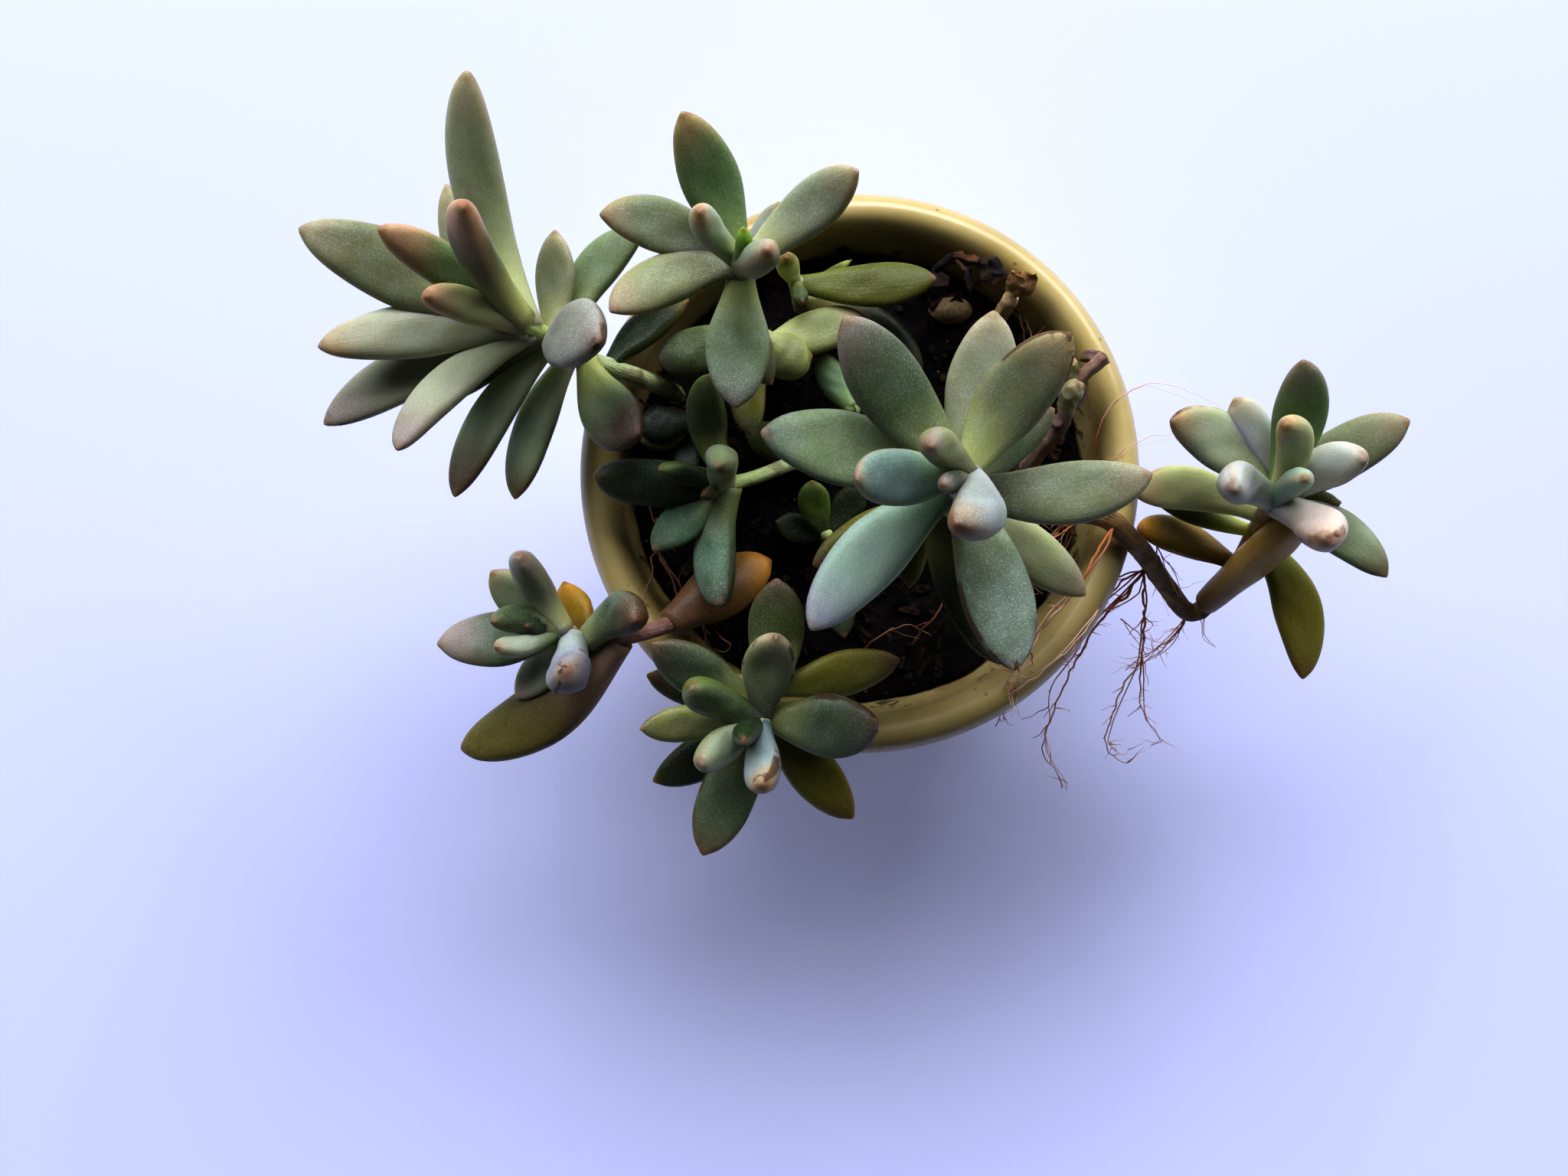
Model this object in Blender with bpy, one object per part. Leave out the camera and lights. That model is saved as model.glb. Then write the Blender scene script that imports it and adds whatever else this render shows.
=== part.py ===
"""A trailing succulent in a round cream pot with a rolled lip.

Six leafy rosettes lean out of the pot on bare stems, and smaller sprouts, a
dried flower stalk and litter fill the space between them. Each leafy stem is
one solid: a tube along its path with its leaves sunk well into it. Every stem
stands in a plain hole in the potting mix.

Frame: the origin is the middle of the pot's flat underside, +Z is up and +Y is
the side away from someone who looks down on the pot with the lowest rosette
nearest to them. The tables below are in millimetres.
"""

import math
from typing import NamedTuple

import bmesh
import bpy
from mathutils import Vector

MM = 0.001

# The pot, in millimetres and degrees
POT_HEIGHT = 90.0
POT_TURNS = 40
FOOT_RADIUS = 38.0
FOOT_CHAMFER = 1.5
NECK_RADIUS = 51.4
LIP_MIDDLE_RADIUS = 52.6
LIP_HALF_WIDTH = 4.0
LIP_HALF_HEIGHT = 5.5
LIP_ARC_POINTS = 8
LIP_ARC_START = -70.0
LIP_ARC_SPAN = 250.0
MOUTH_RADIUS = 48.4
FLOOR_THICKNESS = 3.6
FLOOR_RADIUS = 34.6
DRAIN_COUNT = 5
DRAIN_RADIUS = 3.0
DRAIN_CIRCLE = 20.0
DRAIN_SIDES = 10

# The potting mix, in millimetres and degrees
SEAT_GAP = 0.3
FACET_ALLOWANCE = 0.15
SOIL_LEVEL = 78.0
SOIL_RINGS = 5
SOIL_MOUND = 2.2
SOIL_RELIEF = 0.8
CRUMB_COUNT = 11
CRUMB_RADIUS = 1.5
CRUMB_SPREAD = 0.88
GOLDEN_ANGLE = 137.5
HOLE_SIDES = 9
HOLE_HEADROOM = 8.0

# Stems, leaves and root threads, in millimetres
PLANT_PLACE = (-0.7, -0.7)
ROOT_DEPTH = 15.0
STEM_STEP = 5.0
STEM_SIDES = 6
LEAF_SIDES = 8
LEAF_STATIONS = (0.0, 0.32, 0.6, 0.82, 0.95)
SHORT_LEAF_LENGTH = 24.0
SHORT_LEAF_STATIONS = (0.0, 0.38, 0.72, 0.93)
SMALL_LEAF_LENGTH = 13.0
SMALL_LEAF_SIDES = 6
UPPER_SHARE = 0.42
THREAD_SIDES = 4
THREAD_STEP = 7.0
THREAD_RADIUS = 0.5
THREAD_TAPER = 0.15


class Form(NamedTuple):
    """How a kind of leaf swells from its neck to its belly and closes at its tip."""

    neck: float
    belly: float
    point: float
    depth: float


SPOON = Form(neck=0.40, belly=0.58, point=0.56, depth=0.52)
SPEAR = Form(neck=0.50, belly=0.56, point=0.52, depth=0.64)
CLUB = Form(neck=0.56, belly=0.62, point=0.48, depth=0.76)
BUD = Form(neck=0.62, belly=0.55, point=0.50, depth=0.86)
HUSK = Form(neck=0.30, belly=0.50, point=0.80, depth=0.20)


class Leaf(NamedTuple):
    """One leaf: where it leaves the stem, where its tip is, and its shape.

    at is the distance back from the stem's tip, and tip is a place in the
    frame. bow is how far the middle hangs below the straight line from base to
    tip, sway how far it stands to the left of that line, seen from above, and
    roll turns the leaf about its own length, in degrees.
    """

    form: Form
    at: float
    tip: tuple
    width: float
    bow: float = 2.0
    sway: float = 0.0
    roll: float = 0.0


class Shoot(NamedTuple):
    """A leafy stem: its path from the soil to its tip, its radii and its leaves."""

    name: str
    colour: tuple
    path: tuple
    root_radius: float
    tip_radius: float
    leaves: tuple
    threads: tuple = ()


GREY_GREEN = (0.26, 0.36, 0.27, 1.0)
DEEP_GREEN = (0.07, 0.15, 0.09, 1.0)
OLIVE_GREEN = (0.28, 0.34, 0.08, 1.0)
BRIGHT_GREEN = (0.16, 0.38, 0.12, 1.0)
DRY_MAUVE = (0.22, 0.16, 0.15, 1.0)
DRY_BROWN = (0.10, 0.06, 0.04, 1.0)
DRY_STRAW = (0.42, 0.30, 0.14, 1.0)
PALE_STONE = (0.34, 0.29, 0.22, 1.0)
DARK_SOIL = (0.025, 0.018, 0.014, 1.0)
CREAM = (0.72, 0.62, 0.33, 1.0)

CENTRE_SHOOT = Shoot(
    name="shoot_centre",
    colour=GREY_GREEN,
    path=((5, -8, 80), (7, -8, 92), (11, -6, 116), (15.5, -4.5, 139)),
    root_radius=2.4,
    tip_radius=1.8,
    leaves=(
        Leaf(SPOON, 3, (-5, 19.5, 146), 12.1, 2.5, 0.0),
        Leaf(SPOON, 5, (-18, 3, 136), 12.4, 2.0, -1.1),
        Leaf(SPOON, 1, (-3.6, -6, 154), 9.4, 2.2, -0.5),
        Leaf(BUD, 0, (6.8, -1.8, 160), 5.8, 1.6, -2.0),
        Leaf(BUD, 0, (9, -7, 157), 3.6, 0.5, 0.0),
        Leaf(BUD, 2, (10, -13, 164), 8.4, -1.0, 3.0),
        Leaf(SPOON, 8, (20, 23, 134), 11.7, 2.0, -1.2),
        Leaf(SPOON, 5, (30, 17, 146), 11.4, 2.5, 0.9),
        Leaf(SPOON, 10, (46.5, -3.5, 132), 10.7, 3.0, -2.2),
        Leaf(SPOON, 14, (33.5, 9.5, 116), 8.8, 2.0, 0.0),
        Leaf(SPOON, 7, (23, -35.5, 136), 12.5, 2.5, 1.7),
        Leaf(SPOON, 24, (25, -36, 111), 10.0, 2.0, 0.0),
        Leaf(SPOON, 5, (-10, -29, 134), 11.3, 2.5, -1.6),
        Leaf(SPOON, 22, (-9, -18, 112), 9.3, 2.0, 1.1),
        Leaf(SPOON, 20, (40, -23.5, 112), 10.0, 2.0, 1.5),
        Leaf(SPEAR, 26, (9, -22, 104), 6.0, 1.5, 0.0),
    ),
)

BACK_SHOOT = Shoot(
    name="shoot_back",
    colour=GREY_GREEN,
    path=((-18, 22, 80), (-19, 24, 92), (-21, 29, 112), (-22, 33, 130)),
    root_radius=2.2,
    tip_radius=1.6,
    leaves=(
        Leaf(SPOON, 4, (-31, 54.5, 138), 9.9, 2.0, -0.6),
        Leaf(SPOON, 6, (-45.5, 41, 128), 9.7, 2.0, -3.2),
        Leaf(SPOON, 3, (-44, 25, 127), 9.4, 2.5, -3.1),
        Leaf(CLUB, 1, (-27.5, 35.5, 149), 5.7, 1.4, -0.8),
        Leaf(BUD, 0, (-21, 34, 145), 3.4, 0.6, -1.0),
        Leaf(BUD, 0, (-17.2, 29.2, 151), 6.4, 0.6, 0.0),
        Leaf(SPOON, 3, (-3, 44.5, 140), 8.9, 2.5, 1.2),
        Leaf(SPOON, 9, (-15.5, 44, 124), 6.5, 1.5, -0.2),
        Leaf(SPOON, 4, (-23, 9.5, 122), 11.1, 2.5, -0.3),
        Leaf(SPOON, 12, (-27, 17, 112), 7.4, 1.5, 1.5),
        Leaf(SPOON, 13, (-17, 15, 112), 7.4, 1.5, -1.5),
        Leaf(CLUB, 34, (-39, 22.5, 93.5), 10.6, 1.0, -0.4),
        Leaf(CLUB, 32, (-9.5, 22.5, 97), 9.5, 1.0, -1.3),
        Leaf(SPOON, 30, (-20.5, 7, 101), 7.4, 1.5, -1.6),
        Leaf(SPOON, 37, (1, 31.5, 91), 9.2, 0.5, 0.0),
    ),
)

UPPER_LEFT_SHOOT = Shoot(
    name="shoot_upper_left",
    colour=GREY_GREEN,
    path=(
        (-37, 17.5, 80),
        (-38.2, 17.8, 86),
        (-43, 18.8, 94),
        (-49.2, 20.4, 98.5),
        (-55.5, 22.7, 104),
        (-62, 25.5, 113),
    ),
    root_radius=1.9,
    tip_radius=1.6,
    leaves=(
        Leaf(SPEAR, 2, (-67.5, 63.5, 132), 10.2, 2.5, 4.9),
        Leaf(SPOON, 4, (-76.5, 51.5, 110), 7.8, 1.5, 4.5),
        Leaf(SPOON, 2, (-100, 41, 119), 13.0, 2.0, -0.6),
        Leaf(SPEAR, 1, (-82, 37.5, 132), 7.9, 2.0, -0.9),
        Leaf(CLUB, 0, (-65, 37.5, 145), 8.0, -1.0, 4.0),
        Leaf(BUD, 0, (-74.5, 26.5, 131), 6.5, 1.5, -1.7),
        Leaf(SPEAR, 2, (-98, 21, 115), 10.0, 1.5, -2.1),
        Leaf(SPOON, 4, (-100.5, 8.5, 105), 10.8, 1.5, -4.0),
        Leaf(SPEAR, 3, (-82, 2, 122), 8.1, 2.5, -5.2),
        Leaf(SPEAR, 6, (-79.5, 13.5, 101), 5.9, 1.0, -1.6),
        Leaf(SPOON, 8, (-76, -5, 106), 9.1, 1.5, -3.7),
        Leaf(SPOON, 13, (-66, -5, 100), 9.1, 1.0, -2.8),
        Leaf(SPOON, 16, (-41.2, 5.8, 112), 11.8, 2.0, -3.0),
        Leaf(SPOON, 8, (-45.2, 18.8, 133), 13.0, -2.0, 0.5),
        Leaf(SPOON, 8, (-57, 43.5, 108), 8.1, 1.5, 0.7),
        Leaf(SPOON, 11, (-41, 44, 107), 9.1, 1.5, 5.1),
        Leaf(SPOON, 21, (-33.5, 33.5, 96), 7.8, 1.0, 2.2),
    ),
)

RIGHT_ROOTS = (
    ((57, -16, 84), (58, -22, 80), (60, -34, 70), (61, -52, 56), (64, -69, 44)),
    ((57, -16, 84), (62, -26, 78), (68, -40, 66), (72, -52, 56), (80, -62, 50)),
    ((57, -16, 84), (54, -24, 80), (47, -33, 76), (40, -42, 74)),
    ((72, -28, 72), (70, -38, 66), (66, -50, 56), (70, -62, 48)),
    ((72, -28, 72), (78, -36, 68), (85, -43, 62)),
    ((49, -10, 93.5), (46, -22, 96), (39, -37, 93.5), (35, -54, 84)),
)

RIGHT_SHOOT = Shoot(
    name="shoot_right",
    colour=GREY_GREEN,
    path=(
        (37, -7, 80),
        (38.6, -7, 87),
        (43.5, -7.5, 93.5),
        (49, -9, 95),
        (54, -13, 92),
        (58.5, -16, 86),
        (65, -22, 78),
        (71, -27.5, 73),
        (75, -25.5, 74.5),
        (78.5, -18.5, 80),
        (80, -10.5, 89),
        (78.5, -7, 99),
        (77.2, -6, 107),
    ),
    root_radius=2.2,
    tip_radius=1.7,
    leaves=(
        Leaf(SPOON, 3, (76, 17, 122), 9.6, 2.0, -2.1),
        Leaf(SPOON, 5, (68, 12, 111), 9.2, 1.0, -1.0),
        Leaf(SPOON, 4, (55, 7.5, 116), 10.2, 2.0, -3.3),
        Leaf(CLUB, 2, (64.4, -5, 121), 8.0, 2.0, -2.2),
        Leaf(CLUB, 1, (71, 5.5, 127), 6.8, 1.5, -3.5),
        Leaf(BUD, 0, (76, -3.5, 123), 5.3, 1.0, -0.4),
        Leaf(CLUB, 2, (87.5, 0.3, 120), 8.0, 2.0, 1.6),
        Leaf(SPOON, 5, (99, 8, 112), 10.2, 1.5, 1.1),
        Leaf(CLUB, 2, (79, -13.6, 123), 8.6, 2.0, 3.0),
        Leaf(SPOON, 7, (100, -20, 101), 8.5, 1.5, 3.1),
        Leaf(SPOON, 22, (91, -40.5, 84), 10.2, 1.0, 4.8),
        Leaf(SPOON, 9, (92, -6, 99), 7.0, 1.0, 0.0),
        Leaf(SPEAR, 41, (84.6, -8, 104), 11.0, -0.5, 0.5),
        Leaf(SPOON, 14, (51.7, -4.7, 104), 9.0, 1.0, -3.4),
        Leaf(SPOON, 20, (54.8, 0.6, 92), 6.4, 0.5, 1.5),
        Leaf(SPOON, 30, (56, -10.5, 90), 8.2, 0.5, -2.0),
    ),
    threads=RIGHT_ROOTS,
)

LOWER_LEFT_SHOOT = Shoot(
    name="shoot_lower_left",
    colour=GREY_GREEN,
    path=(
        (-29, -25, 80),
        (-30.5, -26, 86),
        (-36, -29, 93.5),
        (-43, -31.4, 97),
        (-51, -32.8, 98.5),
        (-57.5, -30.5, 102),
    ),
    root_radius=1.7,
    tip_radius=1.5,
    leaves=(
        Leaf(SPOON, 3, (-69.5, -19.5, 104), 9.4, 1.5, 0.8),
        Leaf(CLUB, 1, (-62, -17, 116), 7.2, 1.5, 3.0),
        Leaf(SPOON, 2, (-80, -33, 102), 10.8, 1.5, -0.5),
        Leaf(BUD, 1, (-67.5, -28.5, 112), 5.6, 1.2, -1.6),
        Leaf(BUD, 0, (-62.5, -29.5, 108), 3.9, 0.6, -0.9),
        Leaf(CLUB, 0, (-67, -33, 112), 5.1, 1.4, -0.3),
        Leaf(CLUB, 3, (-54, -37, 116), 9.0, 2.0, -2.4),
        Leaf(CLUB, 6, (-41.5, -28.2, 113), 8.7, 1.6, 3.0),
        Leaf(SPOON, 7, (-58, -21.5, 92), 8.8, 1.0, 1.6),
        Leaf(SPOON, 5, (-67, -44, 93), 9.0, 1.0, -1.9),
        Leaf(SPEAR, 12, (-79, -54.5, 88), 13.2, 2.0, 2.9),
        Leaf(SPEAR, 23, (-17.5, -17, 88), 11.6, 1.0, 0.6),
    ),
)

FRONT_SHOOT = Shoot(
    name="shoot_front",
    colour=GREY_GREEN,
    path=((-14, -29, 80), (-14.5, -32, 88), (-16.5, -40, 100), (-19.3, -48, 111)),
    root_radius=2.0,
    tip_radius=1.7,
    leaves=(
        Leaf(SPOON, 2, (-16, -31, 122), 9.5, 2.0, 0.5),
        Leaf(SPOON, 4, (-38, -32.5, 114), 10.0, 1.5, 0.9),
        Leaf(CLUB, 2, (-30.5, -39.5, 125), 7.4, 1.5, 1.6),
        Leaf(SPOON, 4, (-40.5, -48, 112), 7.4, 1.5, 0.7),
        Leaf(CLUB, 1, (-29, -53, 123), 6.8, 1.5, 0.5),
        Leaf(BUD, 0, (-21.5, -49, 124), 4.8, 0.4, 0.8),
        Leaf(CLUB, 1, (-18.5, -56, 125), 7.3, 1.8, -1.0),
        Leaf(SPOON, 4, (2, -46.5, 114), 12.7, 1.5, -2.3),
        Leaf(SPOON, 8, (-1.5, -66.5, 98), 10.2, 1.5, -1.8),
        Leaf(SPOON, 5, (-29.5, -71.5, 108), 10.9, 1.5, -0.1),
        Leaf(SPOON, 9, (-39.5, -59.5, 98), 9.0, 1.0, 2.2),
        Leaf(SPOON, 11, (7, -36, 101), 8.9, 1.5, -0.8),
        Leaf(SPOON, 8, (-16, -21, 106), 11.0, 1.5, -0.5),
        Leaf(SPOON, 13, (-41, -39.5, 95), 8.4, 1.0, 2.4),
    ),
)

SMALL_LEFT_SHOOT = Shoot(
    name="shoot_small_left",
    colour=DEEP_GREEN,
    path=((-8, 4, 80), (-9, 4, 85.5), (-14, 2, 91), (-21, -1, 95), (-28, -3, 98)),
    root_radius=1.5,
    tip_radius=1.3,
    leaves=(
        Leaf(SPOON, 3, (-28.5, 17.5, 104), 8.8, 1.5, 3.9),
        Leaf(CLUB, 4, (-50.5, -1, 101), 9.4, 1.5, 1.1),
        Leaf(BUD, 1, (-37.5, -0.5, 108), 4.5, 1.2, 0.5),
        Leaf(BUD, 0, (-30, -5, 104), 2.9, 0.4, 0.0),
        Leaf(BUD, 1, (-26.5, -0.5, 114), 6.9, 1.2, 2.2),
        Leaf(SPOON, 2, (-39.5, -15, 99), 8.4, 1.5, -1.1),
        Leaf(CLUB, 3, (-26.5, -25.5, 102), 8.8, 1.5, -3.7),
        Leaf(SPOON, 24, (-22, 9, 88), 7.6, 1.0, 0.0),
    ),
)

SHADE_SPROUT = Shoot(
    name="sprout_left",
    colour=DEEP_GREEN,
    path=((-33.5, 10.5, 79), (-33.5, 11, 83), (-33.5, 11.5, 87)),
    root_radius=1.3,
    tip_radius=1.1,
    leaves=(
        Leaf(CLUB, 1, (-43.5, 11, 88.5), 7.6, 0.5, 0.5),
        Leaf(SPOON, 3, (-43, 7, 88), 6.4, 1.0, 0.0),
        Leaf(SPOON, 3, (-26, 3, 88), 5.8, 1.0, 0.0),
        Leaf(SPOON, 4, (-35, -1, 86), 5.8, 1.0, 0.0),
    ),
)

MIDDLE_SPROUT = Shoot(
    name="sprout_middle",
    colour=DEEP_GREEN,
    path=((-6, -12, 79), (-6, -12, 83), (-6, -11.5, 87)),
    root_radius=1.3,
    tip_radius=1.1,
    leaves=(
        Leaf(SPOON, 1, (-9, -1.5, 92), 6.7, 1.0, 0.7),
        Leaf(SPOON, 1.5, (1, -2, 88), 6.4, 1.0, 0.0),
        Leaf(SPOON, 3, (-16, -9, 86), 6.0, 1.0, 0.0),
        Leaf(SPOON, 3, (-2.5, -32, 88), 7.4, 1.0, 0.0),
    ),
)

BRIGHT_SPROUT = Shoot(
    name="sprout_bright",
    colour=BRIGHT_GREEN,
    path=((1, 13, 79), (0.5, 13.4, 83), (-1, 14, 86)),
    root_radius=1.1,
    tip_radius=1.0,
    leaves=(
        Leaf(CLUB, 0, (-6.5, 24, 90), 5.8, 1.0, 1.1),
        Leaf(BUD, 0, (-2, 13, 91), 2.6, 0.3, 0.0),
        Leaf(SPOON, 2, (7, 19, 87), 5.4, 1.0, 0.0),
    ),
)

LOW_BACK_SHOOT = Shoot(
    name="shoot_low_back",
    colour=OLIVE_GREEN,
    path=((-11, 36, 80), (-11.4, 36.4, 85), (-12.3, 37.8, 93)),
    root_radius=1.7,
    tip_radius=1.4,
    leaves=(
        Leaf(SPOON, 1, (14.5, 37.5, 97), 9.1, 1.5, -0.3),
        Leaf(SPOON, 10, (13, 21, 84), 9.0, 0.0, 3.0),
        Leaf(CLUB, 1, (-14.2, 40.5, 101), 4.6, 0.8, 0.0),
        Leaf(BUD, 0, (-11, 33, 97.5), 3.0, 0.4, 0.0),
        Leaf(SPEAR, 5, (-1.3, 43.2, 88), 2.2, 0.5, 0.0),
    ),
)

FLOWER_STALK = Shoot(
    name="dried_flower_stalk",
    colour=DRY_MAUVE,
    path=(
        (35.5, 2.5, 80),
        (37.5, 5.7, 85),
        (39.5, 8.1, 90),
        (40.6, 11.8, 94),
        (42.1, 16, 96),
        (43.5, 19, 97.5),
        (47.1, 22.1, 98.5),
    ),
    root_radius=1.7,
    tip_radius=1.25,
    leaves=(
        Leaf(BUD, 0, (42.9, 21.8, 97), 2.7, 0.0, -0.8),
        Leaf(CLUB, 8, (40.4, 21.5, 100), 3.9, 0.6, 0.0),
        Leaf(BUD, 13, (41.6, 16.3, 101), 4.8, 0.6, 0.0),
        Leaf(SPEAR, 13, (44.8, 17.6, 93.5), 3.0, 0.5, 0.0),
        Leaf(SPEAR, 15, (36.4, 10.7, 97), 3.2, 0.5, 0.0),
    ),
)

DRIED_LEAF = Shoot(
    name="dried_leaf",
    colour=DRY_BROWN,
    path=(
        (13.5, 39.5, 79),
        (14.2, 40, 83),
        (16.5, 42, 88),
        (19.5, 43, 92),
        (23.5, 42, 92),
    ),
    root_radius=0.9,
    tip_radius=0.8,
    leaves=(
        Leaf(HUSK, 0, (27.5, 37.5, 90.5), 5.2, -1.0, 1.0, 30),
        Leaf(HUSK, 4, (22.5, 37, 88.5), 5.5, -1.0, 0.0, -30),
        Leaf(HUSK, 10, (17, 37.5, 89.5), 4.5, 0.5, 0.0, 40),
    ),
)

DRIED_STUB = Shoot(
    name="dried_stub",
    colour=DRY_STRAW,
    path=((28, 28.5, 79.5), (28.8, 32, 85), (30.5, 35.2, 91)),
    root_radius=1.1,
    tip_radius=1.5,
    leaves=(
        Leaf(HUSK, 0, (34, 38.4, 97), 5.0, -0.5, 0.0, 30),
        Leaf(HUSK, 1, (31, 38.8, 97), 4.2, 0.5, 0.0, -50),
    ),
)

SHOOTS = (
    CENTRE_SHOOT,
    BACK_SHOOT,
    UPPER_LEFT_SHOOT,
    RIGHT_SHOOT,
    LOWER_LEFT_SHOOT,
    FRONT_SHOOT,
    SMALL_LEFT_SHOOT,
    SHADE_SPROUT,
    MIDDLE_SPROUT,
    BRIGHT_SPROUT,
    LOW_BACK_SHOOT,
    FLOWER_STALK,
    DRIED_LEAF,
    DRIED_STUB,
)

# A pale pebble lies half sunk in the mix: its middle and its half sizes
PEBBLE_MIDDLE = (19.3, 34.3, 79.6)
PEBBLE_HALF_SIZE = (4.8, 2.8, 2.2)


def clear_scene():
    """Removes every object of the scene."""
    for obj in list(bpy.data.objects):
        bpy.data.objects.remove(obj, do_unlink=True)


def material(name, colour, roughness):
    """A plain coloured material."""
    made = bpy.data.materials.new(name)
    made.use_nodes = True
    shader = made.node_tree.nodes["Principled BSDF"]
    shader.inputs["Base Color"].default_value = colour
    shader.inputs["Roughness"].default_value = roughness
    shader.inputs["Metallic"].default_value = 0.0
    return made


def object_from(name, bm, coating=None):
    """Turns a bmesh into a scene object, smooth where its faces meet gently."""
    bmesh.ops.recalc_face_normals(bm, faces=bm.faces)
    mesh = bpy.data.meshes.new(name)
    bm.to_mesh(mesh)
    bm.free()
    if coating:
        mesh.materials.append(coating)
    mesh.shade_smooth()
    obj = bpy.data.objects.new(name, mesh)
    bpy.context.scene.collection.objects.link(obj)
    return obj


def boolean(obj, operation, tools, solver="MANIFOLD"):
    """Joins or cuts obj with the tools in one step and removes the tools."""
    group = bpy.data.collections.new(obj.name + "_tools")
    bpy.context.scene.collection.children.link(group)
    for tool in tools:
        bpy.context.scene.collection.objects.unlink(tool)
        group.objects.link(tool)
    modifier = obj.modifiers.new(operation.lower(), "BOOLEAN")
    modifier.operation = operation
    modifier.operand_type = "COLLECTION"
    modifier.collection = group
    modifier.solver = solver
    bpy.context.view_layer.objects.active = obj
    bpy.ops.object.modifier_apply(modifier=modifier.name)
    for tool in list(group.objects):
        bpy.data.objects.remove(tool, do_unlink=True)
    bpy.data.collections.remove(group)


def turned(name, profile, turns, coating=None):
    """A closed solid turned about Z from a profile of (radius, height) points.

    The profile runs from the axis back to the axis, so its first and last
    points have radius 0.
    """
    bm = bmesh.new()
    start = bm.verts.new((0, 0, profile[0][1] * MM))
    end = bm.verts.new((0, 0, profile[-1][1] * MM))
    rings = []
    for radius, height in profile[1:-1]:
        ring = []
        for turn in range(turns):
            angle = 2 * math.pi * turn / turns
            ring.append(
                bm.verts.new(
                    (
                        radius * math.cos(angle) * MM,
                        radius * math.sin(angle) * MM,
                        height * MM,
                    )
                )
            )
        rings.append(ring)
    for turn in range(turns):
        after = (turn + 1) % turns
        bm.faces.new((start, rings[0][after], rings[0][turn]))
        bm.faces.new((end, rings[-1][turn], rings[-1][after]))
        for low, high in zip(rings, rings[1:]):
            bm.faces.new((low[turn], low[after], high[after], high[turn]))
    return object_from(name, bm, coating)


def upright(name, x, y, low, high, radius, sides):
    """An upright cylinder from one height to another."""
    bm = bmesh.new()
    bmesh.ops.create_cone(
        bm,
        cap_ends=True,
        segments=sides,
        radius1=radius * MM,
        radius2=radius * MM,
        depth=(high - low) * MM,
    )
    middle = Vector((x, y, (low + high) / 2)) * MM
    bmesh.ops.translate(bm, vec=middle, verts=bm.verts)
    return object_from(name, bm)


def wall_radius(height):
    """The pot's inner radius at a height, on its straight inner wall."""
    climb = LIP_HALF_HEIGHT + FLOOR_THICKNESS
    share = (height - FLOOR_THICKNESS) / (POT_HEIGHT - climb)
    return FLOOR_RADIUS + (MOUTH_RADIUS - FLOOR_RADIUS) * min(1.0, share)


def make_pot():
    """The pot: a tapered wall, a round rolled lip and a pierced flat floor."""
    lip_middle = POT_HEIGHT - LIP_HALF_HEIGHT
    profile = [
        (0, 0),
        (FOOT_RADIUS - FOOT_CHAMFER, 0),
        (FOOT_RADIUS, FOOT_CHAMFER),
        (NECK_RADIUS, lip_middle - LIP_HALF_HEIGHT),
    ]
    for step in range(LIP_ARC_POINTS):
        share = step / (LIP_ARC_POINTS - 1)
        angle = math.radians(LIP_ARC_START + LIP_ARC_SPAN * share)
        profile.append(
            (
                LIP_MIDDLE_RADIUS + LIP_HALF_WIDTH * math.cos(angle),
                lip_middle + LIP_HALF_HEIGHT * math.sin(angle),
            )
        )
    chamfer_height = FLOOR_THICKNESS + FOOT_CHAMFER
    profile += [
        (wall_radius(chamfer_height), chamfer_height),
        (FLOOR_RADIUS - FOOT_CHAMFER, FLOOR_THICKNESS),
        (0, FLOOR_THICKNESS),
    ]
    pot = turned("pot", profile, POT_TURNS, material("cream_glaze", CREAM, 0.35))
    drains = []
    for number in range(DRAIN_COUNT):
        angle = 2 * math.pi * number / DRAIN_COUNT
        drains.append(
            upright(
                f"drain_{number}",
                DRAIN_CIRCLE * math.cos(angle),
                DRAIN_CIRCLE * math.sin(angle),
                -FLOOR_THICKNESS,
                2 * FLOOR_THICKNESS,
                DRAIN_RADIUS,
                DRAIN_SIDES,
            )
        )
    boolean(pot, "DIFFERENCE", drains)


def soil_height(radius, angle):
    """The height of the mix: a low mound with lumps, worked out by a formula."""
    share = radius / MOUTH_RADIUS
    x = radius * math.cos(angle)
    y = radius * math.sin(angle)
    lumps = (
        math.sin(0.31 * x + 1.3)
        + math.sin(0.27 * y - 0.6)
        + math.sin(0.43 * x + 0.38 * y)
        + 0.7 * math.sin(0.71 * x - 0.53 * y + 2.0)
    )
    return SOIL_LEVEL + SOIL_MOUND * (1 - share * share) - 1.0 + SOIL_RELIEF * lumps / 2


def crumb(number):
    """A lump of bark or grit that stands out of the mix, placed on a spiral."""
    radius = MOUTH_RADIUS * CRUMB_SPREAD * math.sqrt((number + 0.6) / CRUMB_COUNT)
    angle = number * math.radians(GOLDEN_ANGLE)
    size = CRUMB_RADIUS * (0.7 + 0.5 * ((number * 7) % 5) / 4)
    bm = bmesh.new()
    bmesh.ops.create_icosphere(bm, subdivisions=1, radius=size * MM)
    for vert in bm.verts:
        vert.co.z *= 0.8
        vert.co.x *= 1.0 + 0.4 * math.sin(number)
    middle = Vector(
        (
            radius * math.cos(angle) * MM,
            radius * math.sin(angle) * MM,
            (soil_height(radius, angle) + 0.2) * MM,
        )
    )
    bmesh.ops.translate(bm, vec=middle, verts=bm.verts)
    return object_from(f"crumb_{number}", bm)


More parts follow.
